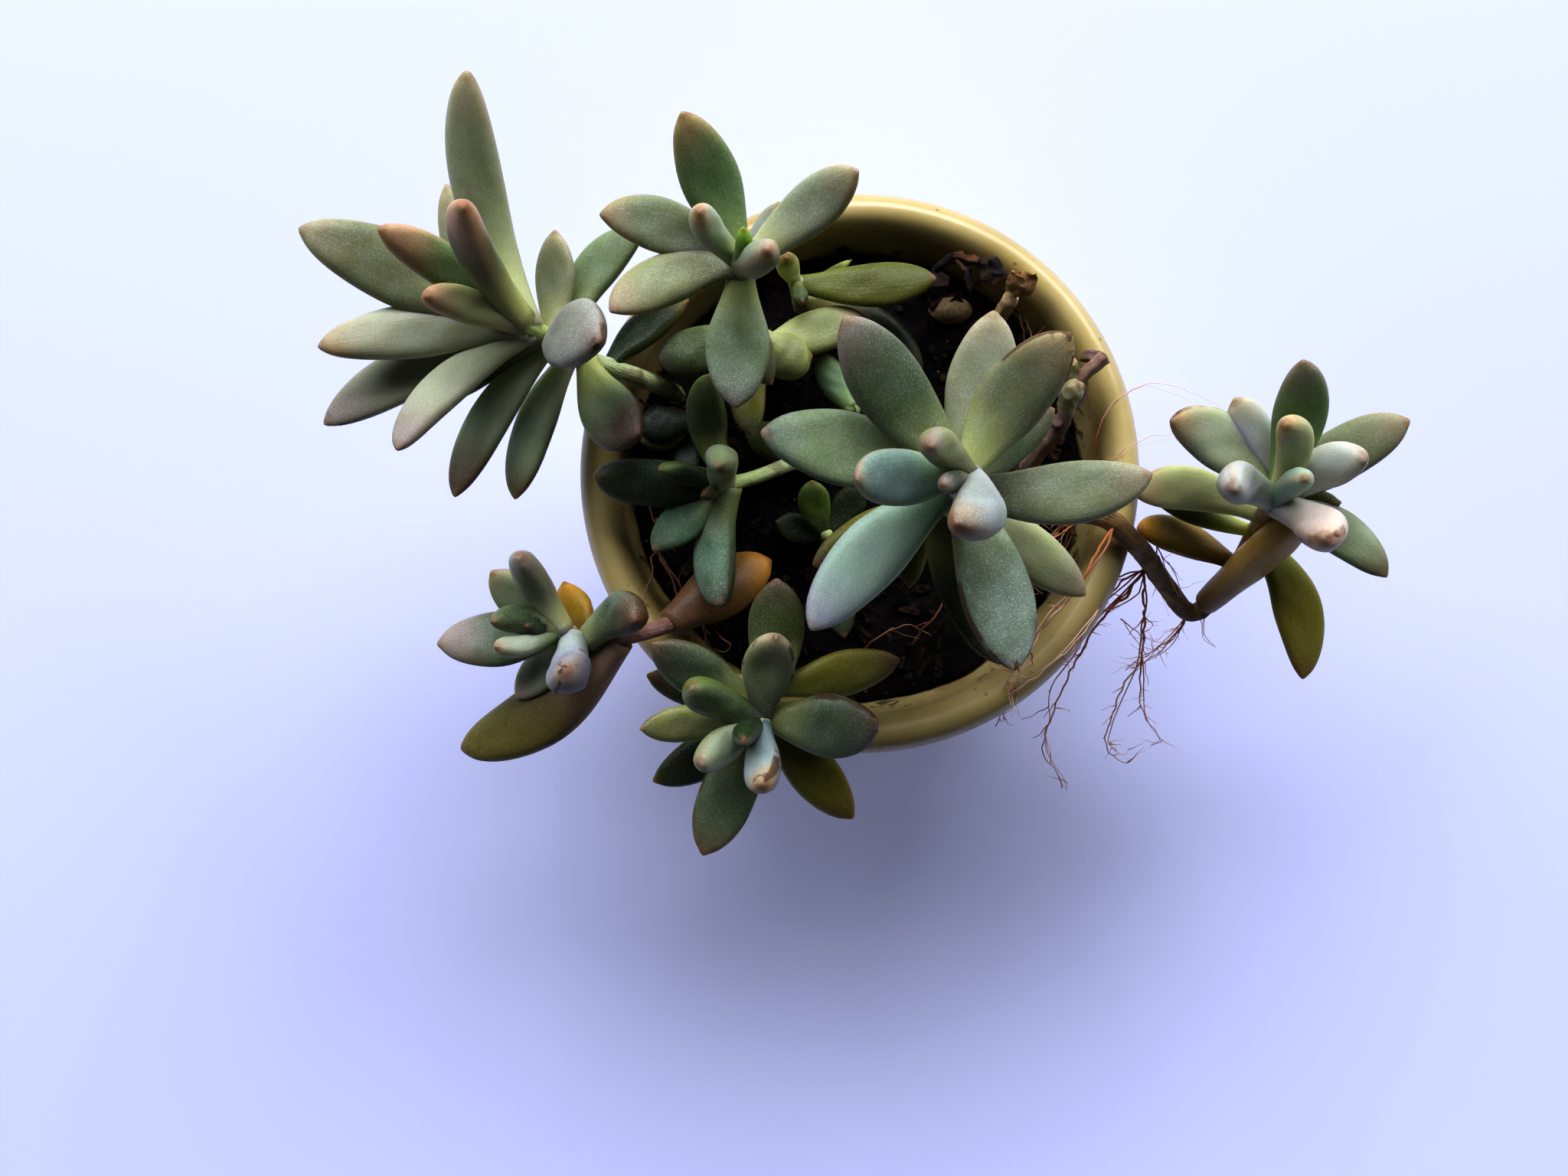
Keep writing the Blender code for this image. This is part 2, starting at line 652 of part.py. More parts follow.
def make_soil():
    """The potting mix with its lumps, its stem holes and the pebble's hollow."""
    edge = SEAT_GAP + FACET_ALLOWANCE
    bottom = FLOOR_THICKNESS + SEAT_GAP
    low_side = bottom + 2.0
    bm = bmesh.new()

    def ring(radius, height_at):
        verts = []
        for turn in range(POT_TURNS):
            angle = 2 * math.pi * turn / POT_TURNS
            place = (
                radius * math.cos(angle) * MM,
                radius * math.sin(angle) * MM,
                height_at(radius, angle) * MM,
            )
            verts.append(bm.verts.new(place))
        return verts

    rings = [
        ring(FLOOR_RADIUS - 3.0, lambda r, a: bottom),
        ring(wall_radius(low_side) - edge, lambda r, a: low_side),
    ]
    rim_radius = wall_radius(SOIL_LEVEL - 2.5) - edge
    for number in range(SOIL_RINGS):
        rings.append(ring(rim_radius * (1 - number / SOIL_RINGS), soil_height))
    under = bm.verts.new((0, 0, bottom * MM))
    top = bm.verts.new((0, 0, soil_height(0, 0) * MM))
    for turn in range(POT_TURNS):
        after = (turn + 1) % POT_TURNS
        bm.faces.new((under, rings[0][after], rings[0][turn]))
        bm.faces.new((top, rings[-1][turn], rings[-1][after]))
        for low, high in zip(rings, rings[1:]):
            bm.faces.new((low[turn], low[after], high[after], high[turn]))
    soil = object_from("soil", bm, material("dark_mix", DARK_SOIL, 0.95))
    boolean(soil, "UNION", [crumb(number) for number in range(CRUMB_COUNT)])
    holes = [pebble("pebble_hollow", SEAT_GAP)]
    for shoot in SHOOTS:
        x, y, level = stood(shoot.path[0])
        holes.append(
            upright(
                shoot.name + "_hole",
                x,
                y,
                level - ROOT_DEPTH - SEAT_GAP,
                level + HOLE_HEADROOM,
                (shoot.root_radius + SEAT_GAP) / math.cos(math.pi / HOLE_SIDES),
                HOLE_SIDES,
            )
        )
    boolean(soil, "DIFFERENCE", holes)


def pebble(name, swell, coating=None):
    """The half-sunk pebble, or its hollow when it is swollen by a gap."""
    bm = bmesh.new()
    bmesh.ops.create_icosphere(bm, subdivisions=2, radius=1.0)
    for vert in bm.verts:
        for axis in range(3):
            reach = (PEBBLE_HALF_SIZE[axis] + swell) * MM
            vert.co[axis] = PEBBLE_MIDDLE[axis] * MM + vert.co[axis] * reach
    return object_from(name, bm, coating)


def stood(place):
    """A place in a shoot's table, moved to where the plants stand in the pot."""
    return Vector((place[0] + PLANT_PLACE[0], place[1] + PLANT_PLACE[1], place[2]))


def smooth_path(points, step):
    """Points about one step apart on a smooth curve through the given points."""
    knots = [Vector(point) for point in points]
    knots = [2 * knots[0] - knots[1], *knots, 2 * knots[-1] - knots[-2]]
    made = [knots[1].copy()]
    for a, b, c, d in zip(knots, knots[1:], knots[2:], knots[3:]):
        count = max(1, round((c - b).length / step))
        for number in range(1, count + 1):
            t = number / count
            made.append(
                0.5
                * (
                    2 * b
                    + (c - a) * t
                    + (2 * a - 5 * b + 4 * c - d) * t**2
                    + (3 * b - a - 3 * c + d) * t**3
                )
            )
    return made


def skin(bm, rings, tip=None):
    """Closes a row of rings into a body, with a flat start and a flat or pointed end."""
    sides = len(rings[0])
    bm.faces.new(list(reversed(rings[0])))
    for low, high in zip(rings, rings[1:]):
        for side in range(sides):
            after = (side + 1) % sides
            bm.faces.new((low[side], low[after], high[after], high[side]))
    if tip is None:
        bm.faces.new(rings[-1])
        return
    for side in range(sides):
        bm.faces.new((rings[-1][side], rings[-1][(side + 1) % sides], tip))


def tube(name, points, radii, sides):
    """A round tube along points, in millimetres, with its frame carried along."""
    bm = bmesh.new()
    across = Vector((1, 0, 0))
    rings = []
    for number, point in enumerate(points):
        before = points[max(0, number - 1)]
        after = points[min(len(points) - 1, number + 1)]
        along = (after - before).normalized()
        across = (across - along * across.dot(along)).normalized()
        up = along.cross(across)
        ring = []
        for side in range(sides):
            angle = 2 * math.pi * side / sides
            spoke = across * math.cos(angle) + up * math.sin(angle)
            ring.append(bm.verts.new((point + spoke * radii[number]) * MM))
        rings.append(ring)
    skin(bm, rings)
    return object_from(name, bm)


def girth(form, t):
    """A leaf's half width at t, from 0 at its base to 1 at its tip, as a share."""
    if t < form.belly:
        rise = math.sin(math.pi / 2 * t / form.belly) ** 1.6
        return form.neck + (1 - form.neck) * rise
    fall = (t - form.belly) / (1 - form.belly)
    return max(0.0, 1 - fall * fall) ** form.point


def plumpness(form, t):
    """A leaf's half depth at t as a share: fuller than its width near both ends."""
    neck = min(1.0, 1.5 * form.neck)
    if t < form.belly:
        return neck + (1 - neck) * math.sin(math.pi / 2 * t / form.belly)
    fall = (t - form.belly) / (1 - form.belly)
    return max(0.0, 1 - fall * fall) ** (0.8 * form.point)


def leaf_rings(leaf, base, stem_way):
    """The rings of one leaf in millimetres, from inside the stem to near its tip."""
    tip = stood(leaf.tip)
    chord = tip - base
    along = chord.normalized()
    face_up = stem_way + Vector((0, 0, 1))
    face_up = (face_up - along * face_up.dot(along)).normalized()
    left = face_up.cross(along)
    turn = math.radians(leaf.roll)
    control = (base + tip) / 2 - face_up * 2 * leaf.bow + left * 2 * leaf.sway
    short = chord.length < SHORT_LEAF_LENGTH
    stations = SHORT_LEAF_STATIONS if short else LEAF_STATIONS
    sides = SMALL_LEAF_SIDES if chord.length < SMALL_LEAF_LENGTH else LEAF_SIDES
    half_width = leaf.width / 2
    half_depth = leaf.width * leaf.form.depth
    rings = []
    for t in stations:
        centre = base * (1 - t) ** 2 + control * 2 * t * (1 - t) + tip * t**2
        way = ((control - base) * (1 - t) + (tip - control) * t).normalized()
        normal = (face_up - way * face_up.dot(way)).normalized()
        side_way = normal.cross(way)
        flat = side_way * math.cos(turn) + normal * math.sin(turn)
        thick = normal * math.cos(turn) - side_way * math.sin(turn)
        ring = []
        for side in range(sides):
            angle = 2 * math.pi * side / sides
            lift = math.sin(angle)
            share = UPPER_SHARE if lift > 0 else 1 - UPPER_SHARE
            place = (
                centre
                + flat * half_width * girth(leaf.form, t) * math.cos(angle)
                + thick * half_depth * share * plumpness(leaf.form, t) * lift
            )
            ring.append(place)
        rings.append(ring)
    return rings


def leaf_solid(name, leaf, base, stem_way):
    """One leaf as a closed body, from inside the stem to its pointed tip."""
    bm = bmesh.new()
    rings = []
    for places in leaf_rings(leaf, base, stem_way):
        rings.append([bm.verts.new(place * MM) for place in places])
    skin(bm, rings, bm.verts.new(stood(leaf.tip) * MM))
    return object_from(name, bm)


def stem_place(points, at):
    """The point at a distance back from the stem's tip, and the stem's way there."""
    left = at
    for after, before in zip(reversed(points), list(reversed(points))[1:]):
        span = (after - before).length
        if left <= span:
            return after.lerp(before, left / span), (after - before).normalized()
        left -= span
    return points[0].copy(), (points[1] - points[0]).normalized()


def make_shoot(shoot):
    """A stem from its hole in the mix, with its leaves and root threads joined on."""
    start = stood(shoot.path[0])
    above = smooth_path([stood(place) for place in shoot.path], STEM_STEP)
    points = [start - Vector((0, 0, ROOT_DEPTH)), *above]
    radii = [shoot.root_radius]
    for number in range(len(above)):
        share = number / (len(above) - 1)
        radii.append(shoot.root_radius + (shoot.tip_radius - shoot.root_radius) * share)
    stem = tube(shoot.name, points, radii, STEM_SIDES)
    stem.data.materials.append(material(shoot.name + "_skin", shoot.colour, 0.55))
    growths = []
    for number, leaf in enumerate(shoot.leaves):
        base, way = stem_place(above, leaf.at)
        growths.append(leaf_solid(f"{shoot.name}_leaf_{number}", leaf, base, way))
    for number, thread in enumerate(shoot.threads):
        line = smooth_path([stood(place) for place in thread], THREAD_STEP)
        last = len(line) - 1
        radii = [THREAD_RADIUS - THREAD_TAPER * step / last for step in range(last + 1)]
        growths.append(tube(f"{shoot.name}_root_{number}", line, radii, THREAD_SIDES))
    boolean(stem, "UNION", growths)


def main():
    """Builds the pot, what fills it, and each leafy stem."""
    clear_scene()
    make_pot()
    make_soil()
    pebble("pebble", 0.0, material("pale_stone", PALE_STONE, 0.8))
    for shoot in SHOOTS:
        make_shoot(shoot)


if __name__ == "__main__":
    main()
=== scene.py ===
"""A trailing succulent in a round cream pot with a rolled lip, dressed for its portrait.

Every leafy stem is grown from the same paths and leaf tables that gave the plain
solids their shape: a leaf mould is modelled once for each kind of leaf, and each
leaf is a copy of it, laid along its own curve and coloured with its own skin.
Places in the tables are in millimetres, with +Z up and the table's top at 0. The
pot's own origin is the middle of its underside; the plants' tables and the roots'
are moved by PLANT_PLACE first.
"""

import itertools
import logging
import math
import random
from dataclasses import dataclass, field
from enum import Enum

import bmesh
import bpy
import numpy as np
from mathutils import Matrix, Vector, noise


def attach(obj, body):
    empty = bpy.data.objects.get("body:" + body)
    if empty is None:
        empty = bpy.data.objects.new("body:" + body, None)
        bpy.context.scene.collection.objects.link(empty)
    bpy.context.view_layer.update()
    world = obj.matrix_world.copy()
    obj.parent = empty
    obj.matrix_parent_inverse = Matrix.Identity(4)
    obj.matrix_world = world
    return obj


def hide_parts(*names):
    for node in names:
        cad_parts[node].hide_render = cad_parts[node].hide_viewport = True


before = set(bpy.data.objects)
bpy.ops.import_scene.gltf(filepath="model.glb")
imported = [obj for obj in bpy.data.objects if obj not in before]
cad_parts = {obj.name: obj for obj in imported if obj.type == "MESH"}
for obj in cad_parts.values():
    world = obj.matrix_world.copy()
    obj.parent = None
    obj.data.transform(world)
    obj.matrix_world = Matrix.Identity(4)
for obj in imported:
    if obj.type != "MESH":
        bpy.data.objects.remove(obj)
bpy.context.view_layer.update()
MM = 0.001
PLANT_PLACE = (-0.7, -0.7, 0.0)
NOISE_SEED = 7
MIX_SEED = 41
FIRST_SHOOT_SEED = 100
HANGING_ROOT_SEED = 7
DRY_ROOT_SEED = 8

Point = tuple[float, float, float]
Colour = tuple[float, float, float, float]

log = logging.getLogger("potted_succulent")


def colour(code: str) -> Colour:
    """Turns a screen colour into the linear colour that a shader takes.

    Args:
        code: six hexadecimal digits, two each for red, green and blue.

    Returns:
        The linear colour, with full opacity.
    """
    shares = [int(code[place : place + 2], 16) / 255 for place in (0, 2, 4)]
    linear = [share / 12.92 if share < 0.04 else ((share + 0.055) / 1.055) ** 2.4 for share in shares]
    return (linear[0], linear[1], linear[2], 1.0)


class Wire:
    """A shader socket that takes part in Python arithmetic."""

    def __init__(self, recipe: "Recipe", socket: bpy.types.NodeSocket) -> None:
        """Wraps a socket of a recipe's node tree."""
        self.recipe = recipe
        self.socket = socket

    def _maths(self, operation: str, first: "Wire | float", second: "Wire | float") -> "Wire":
        """Adds a Math node for one operation on two numbers."""
        return self.recipe.add("ShaderNodeMath", {"operation": operation}, {0: first, 1: second})

    def __add__(self, other: "Wire | float") -> "Wire":
        """This number plus another."""
        return self._maths("ADD", self, other)

    def __radd__(self, other: float) -> "Wire":
        """Another number plus this one."""
        return self._maths("ADD", other, self)

    def __sub__(self, other: "Wire | float") -> "Wire":
        """This number less another."""
        return self._maths("SUBTRACT", self, other)

    def __rsub__(self, other: float) -> "Wire":
        """Another number less this one."""
        return self._maths("SUBTRACT", other, self)

    def __mul__(self, other: "Wire | float") -> "Wire":
        """This number times another."""
        return self._maths("MULTIPLY", self, other)

    def __rmul__(self, other: float) -> "Wire":
        """Another number times this one."""
        return self._maths("MULTIPLY", other, self)

    def __pow__(self, other: "Wire | float") -> "Wire":
        """This number raised to a power."""
        return self._maths("POWER", self, other)

    def __abs__(self) -> "Wire":
        """This number without its sign."""
        return self._maths("ABSOLUTE", self, 0.0)

    def rise(self, low: float, high: float) -> "Wire":
        """A smooth step from 0 at low to 1 at high."""
        return self.recipe.add(
            "ShaderNodeMapRange",
            {"interpolation_type": "SMOOTHSTEP"},
            {"Value": self, "From Min": low, "From Max": high},
        )

    def fall(self, low: float, high: float) -> "Wire":
        """A smooth step from 1 at low to 0 at high."""
        return 1.0 - self.rise(low, high)


class Recipe:
    """A material under construction: its node tree and its main shader."""

    def __init__(self, name: str) -> None:
        """Starts a material with one Principled shader."""
        self.material = bpy.data.materials.new(name)
        self.material.use_nodes = True
        self.tree = self.material.node_tree
        self.shader = self.tree.nodes["Principled BSDF"]

    def add(
        self,
        kind: str,
        settings: dict[str, str] | None = None,
        sockets: dict | None = None,
        output: int = 0,
    ) -> Wire:
        """Adds one node.

        Args:
            kind: the node's type.
            settings: the node's own values, which are set first.
            sockets: values or wires for its inputs, by name or number.
            output: which output to give back.

        Returns:
            The chosen output as a wire.
        """
        node = self.tree.nodes.new(kind)
        for name, value in (settings or {}).items():
            setattr(node, name, value)
        for name, value in (sockets or {}).items():
            if isinstance(value, Wire):
                self.tree.links.new(value.socket, node.inputs[name])
            else:
                node.inputs[name].default_value = value
        return Wire(self, node.outputs[output])

    def place(self) -> Wire:
        """The point on the piece, in the model's own frame, in metres."""
        return self.add("ShaderNodeTexCoord", output=3)

    def attribute(self, name: str, output: int = 0) -> Wire:
        """A value stored on the piece's mesh: its colour, or its vector with output 1."""
        return self.add("ShaderNodeAttribute", {"attribute_name": name}, output=output)

    def parts(self, vector: Wire) -> tuple[Wire, Wire, Wire]:
        """The three numbers of a vector."""
        first = self.add("ShaderNodeSeparateXYZ", sockets={0: vector})
        node = first.socket.node
        return first, Wire(self, node.outputs[1]), Wire(self, node.outputs[2])

    def stretched(self, vector: Wire, by: Point) -> Wire:
        """A vector with each of its numbers multiplied."""
        return self.add("ShaderNodeVectorMath", {"operation": "MULTIPLY"}, {0: vector, 1: by})

    def noise(self, vector: Wire, scale: float, detail: float = 2.0, distortion: float = 0.0) -> Wire:
        """Soft noise between 0 and 1, with scale in repeats a metre."""
        values = {"Vector": vector, "Scale": scale, "Detail": detail, "Distortion": distortion}
        return self.add("ShaderNodeTexNoise", sockets=values)

    def specks(self, vector: Wire, scale: float, share: float, size: float) -> Wire:
        """Small round dots.

        Args:
            vector: the place that the pattern follows.
            scale: cells a metre.
            share: how many of the cells hold a dot.
            size: a dot's radius as a part of a cell.

        Returns:
            1 in the middle of a dot, and 0 between the dots.
        """
        values = {"Vector": vector, "Scale": scale}
        distance = self.add("ShaderNodeTexVoronoi", sockets=values)
        cell = Wire(self, distance.socket.node.outputs[1])
        chosen = self.parts(cell)[0].rise(1.0 - share, 1.0 - 0.6 * share)
        return distance.fall(0.4 * size, size) * chosen

    def blend(self, low: "Wire | Colour", high: "Wire | Colour", factor: "Wire | float") -> Wire:
        """A colour between two others."""
        return self.add("ShaderNodeMix", {"data_type": "RGBA"}, {0: factor, 6: low, 7: high}, 2)

    def shade(self, low: "Wire | Colour", amount: "Wire | float") -> Wire:
        """A colour made darker or lighter by a factor round 1."""
        tint = low if isinstance(low, Wire) else low[:3]
        return self.add("ShaderNodeVectorMath", {"operation": "SCALE"}, {0: tint, "Scale": amount})

    def bump(self, height: Wire, distance: float, strength: float = 1.0, under: Wire | None = None) -> Wire:
        """A fine relief.

        Args:
            height: the relief's height, about 0 to 1.
            distance: what a height of 1 stands for, in metres.
            strength: how much of the relief shows.
            under: another relief that this one lies on.

        Returns:
            The surface's way, for the Normal socket.
        """
        values = {"Height": height, "Distance": distance, "Strength": strength}
        if under is not None:
            values["Normal"] = under
        return self.add("ShaderNodeBump", sockets=values)

    def finish(self, **sockets: "Wire | float | Colour") -> bpy.types.Material:
        """Sets the main shader's sockets.

        Args:
            sockets: values or wires by socket name, with underscores for spaces.

        Returns:
            The finished material.
        """
        for name, value in sockets.items():
            target = self.shader.inputs[name.replace("_", " ")]
            if isinstance(value, Wire):
                self.tree.links.new(value.socket, target)
            else:
                target.default_value = value
        return self.material


@dataclass(frozen=True)
class Form:
    """How a kind of leaf swells from its neck to its belly and closes at its tip.

    neck is the base's share of the full width, belly the place of the full width
    along the leaf, point how sharply the tip closes, and depth the thickness as a
    share of the width. dish hollows the upper face and keel sharpens the lower one.
    """

    neck: float
    belly: float
    point: float
    depth: float
    dish: float
    keel: float

    def girth(self, along: float) -> float:
        """The half width at a place along the leaf.

        Args:
            along: how far along the leaf, from 0 at its base to 1 at its tip.

        Returns:
            The half width as a share of the fullest.
        """
        if along < self.belly:
            rise = math.sin(math.pi / 2 * along / self.belly) ** 1.6
            return self.neck + (1 - self.neck) * rise
        past = (along - self.belly) / (1 - self.belly)
        return max(0.0, 1 - past * past) ** self.point

    def plumpness(self, along: float) -> float:
        """The half depth at a place along the leaf.

        Args:
            along: how far along the leaf, from 0 at its base to 1 at its tip.

        Returns:
            The half depth as a share of the fullest.
        """
        neck = min(1.0, 1.5 * self.neck)
        if along < self.belly:
            return neck + (1 - neck) * math.sin(math.pi / 2 * along / self.belly)
        past = (along - self.belly) / (1 - self.belly)
        return max(0.0, 1 - past * past) ** (0.8 * self.point)


class Kind(Enum):
    """The kinds of leaf on the plant."""

    SPOON = Form(neck=0.40, belly=0.58, point=0.56, depth=0.52, dish=0.22, keel=0.10)
    SPEAR = Form(neck=0.50, belly=0.56, point=0.52, depth=0.64, dish=0.08, keel=0.06)
    CLUB = Form(neck=0.56, belly=0.62, point=0.48, depth=0.76, dish=0.0, keel=0.05)
    BUD = Form(neck=0.62, belly=0.55, point=0.50, depth=0.86, dish=0.0, keel=0.0)
    HUSK = Form(neck=0.30, belly=0.50, point=0.80, depth=0.20, dish=0.4, keel=0.0)


SPOON, SPEAR, CLUB, BUD, HUSK = Kind


@dataclass(frozen=True)
class Tone:
    """A skin's screen colours at the neck and over the body, and at the tip of a stem."""

    neck: str
    body: str
    tip: str = ""


class Skin(Enum):
    """The skins of leaves and stems, named for how they look. The bodies of SHADE and DUSK, and MOSS and
    TEAL, were matched to leaves lying under others, so they also hold painted shade.
    """

    GREY = Tone("919250", "515E3A")
    DEEP = Tone("84884C", "46532C")
    SMOKE = Tone("A7AA5A", "788555")
    SAGE = Tone("839455", "627843")
    FROST = Tone("70827C", "88948C")
    RIME = Tone("7E9A70", "98AC94")
    SEA = Tone("8CA878", "708474")
    ICE = Tone("BEC096", "8D9672")
    PEARL = Tone("A4A698", "8A8C7E")
    FRESH = Tone("504D26", "7E8158")
    BLOOM = Tone("B0AE78", "8A8A68")
    STONE = Tone("8A9450", "A9AE8C")
    MAUVE = Tone("C2C4A0", "BCBBB2")
    PALE = Tone("CDCF96", "9CA176")
    TAN = Tone("CBCB90", "B8B880")
    KHAKI = Tone("68642B", "8A894F")
    STRAW = Tone("B4B670", "74744A")
    OLIVE = Tone("7C7B2A", "7A7215")
    # Painted shade lies in the dark bodies of SHADE and DUSK and in MOSS and TEAL, besides their own deep
    # green.
    SHADE = Tone("B8BA6E", "424C0E")
    DUSK = Tone("948F55", "262C0E")
    LIME = Tone("9AA854", "86A83C")
    FERN = Tone("2E3A0E", "5C6C1C")
    MOSS = Tone("2E3D0E", "2C3E1C")
    TEAL = Tone("26330E", "26300E")
    BRIGHT = Tone("84985E", "94AE84")
    PEACH = Tone("664A30", "785A2E")
    RUST = Tone("947860", "6E5E2C")
    AMBER = Tone("61450E", "9A7C1C")
    MIST = Tone("66723A", "9CA085")
    SNOW = Tone("BEC8B0", "BCBAAE")
    SHELL = Tone("CCC8B6", "C4B09E")
    POND = Tone("848A50", "46643E")
    FIELD = Tone("6C6E28", "5C5E10")
    SLATE = Tone("94988A", "84828A")
    CREAM = Tone("C8CA9C", "A8A684")
    PLUM = Tone("C2B6A6", "857E69")
    CITRON = Tone("A6A668", "84864E")
    TOAST = Tone("8A6C3C", "C8A458")
    PALE_STEM = Tone("9AA06A", "B3BC86", "B7C47C")
    GREEN_STEM = Tone("8E8C55", "9DA963", "A9BF6C")
    OLIVE_STEM = Tone("A0804E", "927646", "B8A070")
    BROWN_STEM = Tone("7C5A48", "94705F", "A88270")
    STRAW_STEM = Tone("A08A4E", "A9964F", "B6C07C")
    DRY_MAUVE = Tone("B89C90", "A48876", "B08C70")
    DRY_BROWN = Tone("5A3E22", "32241A", "8A5A30")
    DRY_STRAW = Tone("E4BC84", "D8A86A", "F2D098")


class End(Enum):
    """The colours of the leaves' ends, named for how they look. DARK, matched to ends lying under other
    leaves, also holds painted shade.
    """

    TAN = "A88A5E"
    SAND = "948466"
    PALE = "B4A282"
    ROSE = "BC9470"
    MAUVE = "8A7A6C"
    BROWN = "5C452C"
    UMBER = "664E1C"
    RUST = "966A34"
    OLIVE = "6A6024"
    # DARK holds painted shade besides the end's own dark green.
    DARK = "3C3F1C"
    GREEN = "6C7A44"
    LIME = "A8B860"
    GOLD = "B8842C"
    LILAC = "8C898F"
    CHAR = "6B4226"
    CORK = "E0A85C"
    SLATE = "4E5450"


@dataclass(frozen=True)
class Leaf:
    """One leaf: where it leaves the stem, where its tip is, its shape and its skin.

    The tables give kind, at, tip, width, bow, sway and roll in this order. at is the
    distance back from the stem's tip and tip a place in the frame. bow is how far the
    middle hangs below the straight line from base to tip, sway how far it stands to
    the left of that line, and roll turns the leaf about its own length, in degrees.
    wax is the strength of the pale bloom, scars how brown its marks are, and blush how
    far back from the tip the tip's colour reaches.
    """

    kind: Kind
    at: float
    tip: Point
    width: float
    bow: float = 2.0
    sway: float = 0.0
    roll: float = 0.0
    skin: Skin = Skin.GREY
    end: End = End.TAN
    wax: float = 0.5
    scars: float = 0.1
    blush: float = 0.3


@dataclass(frozen=True)
class Shoot:
    """A leafy stem: its path from the soil to its tip, its radii, its skin and its leaves."""

    name: str
    slot: str
    path: tuple[Point, ...]
    root_radius: float
    tip_radius: float
    bark: Skin
    leaves: tuple[Leaf, ...]
    withered: float = 0.0


CENTRE_SHOOT = Shoot(
    name="shoot_centre",
    slot="grey_green_leaf",
    path=((5, -8, 80), (7, -8, 92), (11, -6, 116), (15.5, -4.5, 139)),
    root_radius=2.4,
    tip_radius=1.8,
    bark=Skin.GREEN_STEM,
    leaves=(
        Leaf(SPOON, 3, (-5, 19.5, 146), 12.1, 2.5, 0.0, skin=Skin.DEEP, end=End.MAUVE, wax=0.35),
        Leaf(
            SPOON, 5, (-18, 3, 136), 12.4, 2.0, -1.1,
            skin=Skin.SMOKE, end=End.SLATE, wax=0.5, scars=0.35, blush=0.25,
        ),
        Leaf(SPOON, 1, (-3.6, -6, 154), 9.4, 2.2, -0.5, skin=Skin.SEA, end=End.ROSE, wax=0.4, blush=0.15),
        Leaf(
            BUD, 0, (6.8, -1.8, 160), 5.8, 1.6, -2.0,
            skin=Skin.KHAKI, end=End.MAUVE, wax=0.6, blush=0.26,
        ),
        Leaf(BUD, 0, (9, -7, 157), 3.6, 0.5, 0.0, skin=Skin.DUSK, end=End.MAUVE, wax=0.3, blush=0.3),
        Leaf(BUD, 2, (10, -13, 164), 8.4, -1.0, 3.0, skin=Skin.PEARL, end=End.RUST, wax=0.9, blush=0.27),
        Leaf(SPOON, 8, (20, 23, 134), 11.7, 2.0, -1.2, skin=Skin.BLOOM, end=End.PALE, wax=0.6),
        Leaf(SPOON, 5, (30, 17, 146), 11.4, 2.5, 0.9, skin=Skin.STRAW, wax=0.5, scars=0.6),
        Leaf(SPOON, 10, (46.5, -3.5, 132), 10.7, 3.0, -2.2, skin=Skin.FRESH, end=End.SAND, wax=0.5),
        Leaf(SPOON, 14, (33.5, 9.5, 116), 8.8, 2.0, 0.0, skin=Skin.GREY, end=End.BROWN, wax=0.2),
        Leaf(
            SPOON, 7, (23, -35.5, 136), 12.5, 2.5, 1.7,
            skin=Skin.GREY, end=End.SLATE, wax=0.9, scars=0.7, blush=0.2,
        ),
        Leaf(SPOON, 24, (25, -36, 111), 10.0, 2.0, 0.0, skin=Skin.DUSK, end=End.BROWN, wax=0.1),
        Leaf(
            SPOON, 5, (-10, -29, 134), 11.3, 2.5, -1.6,
            skin=Skin.RIME, end=End.LILAC, wax=0.7, blush=0.35,
        ),
        Leaf(SPOON, 22, (-9, -18, 112), 9.3, 2.0, 1.1, skin=Skin.OLIVE, end=End.BROWN, wax=0.2),
        Leaf(SPOON, 20, (40, -23.5, 112), 10.0, 2.0, 1.5, skin=Skin.TAN, end=End.SAND, wax=0.6),
        Leaf(SPEAR, 26, (9, -22, 104), 6.0, 1.5, 0.0, skin=Skin.OLIVE, end=End.UMBER, wax=0.1),
    ),
)

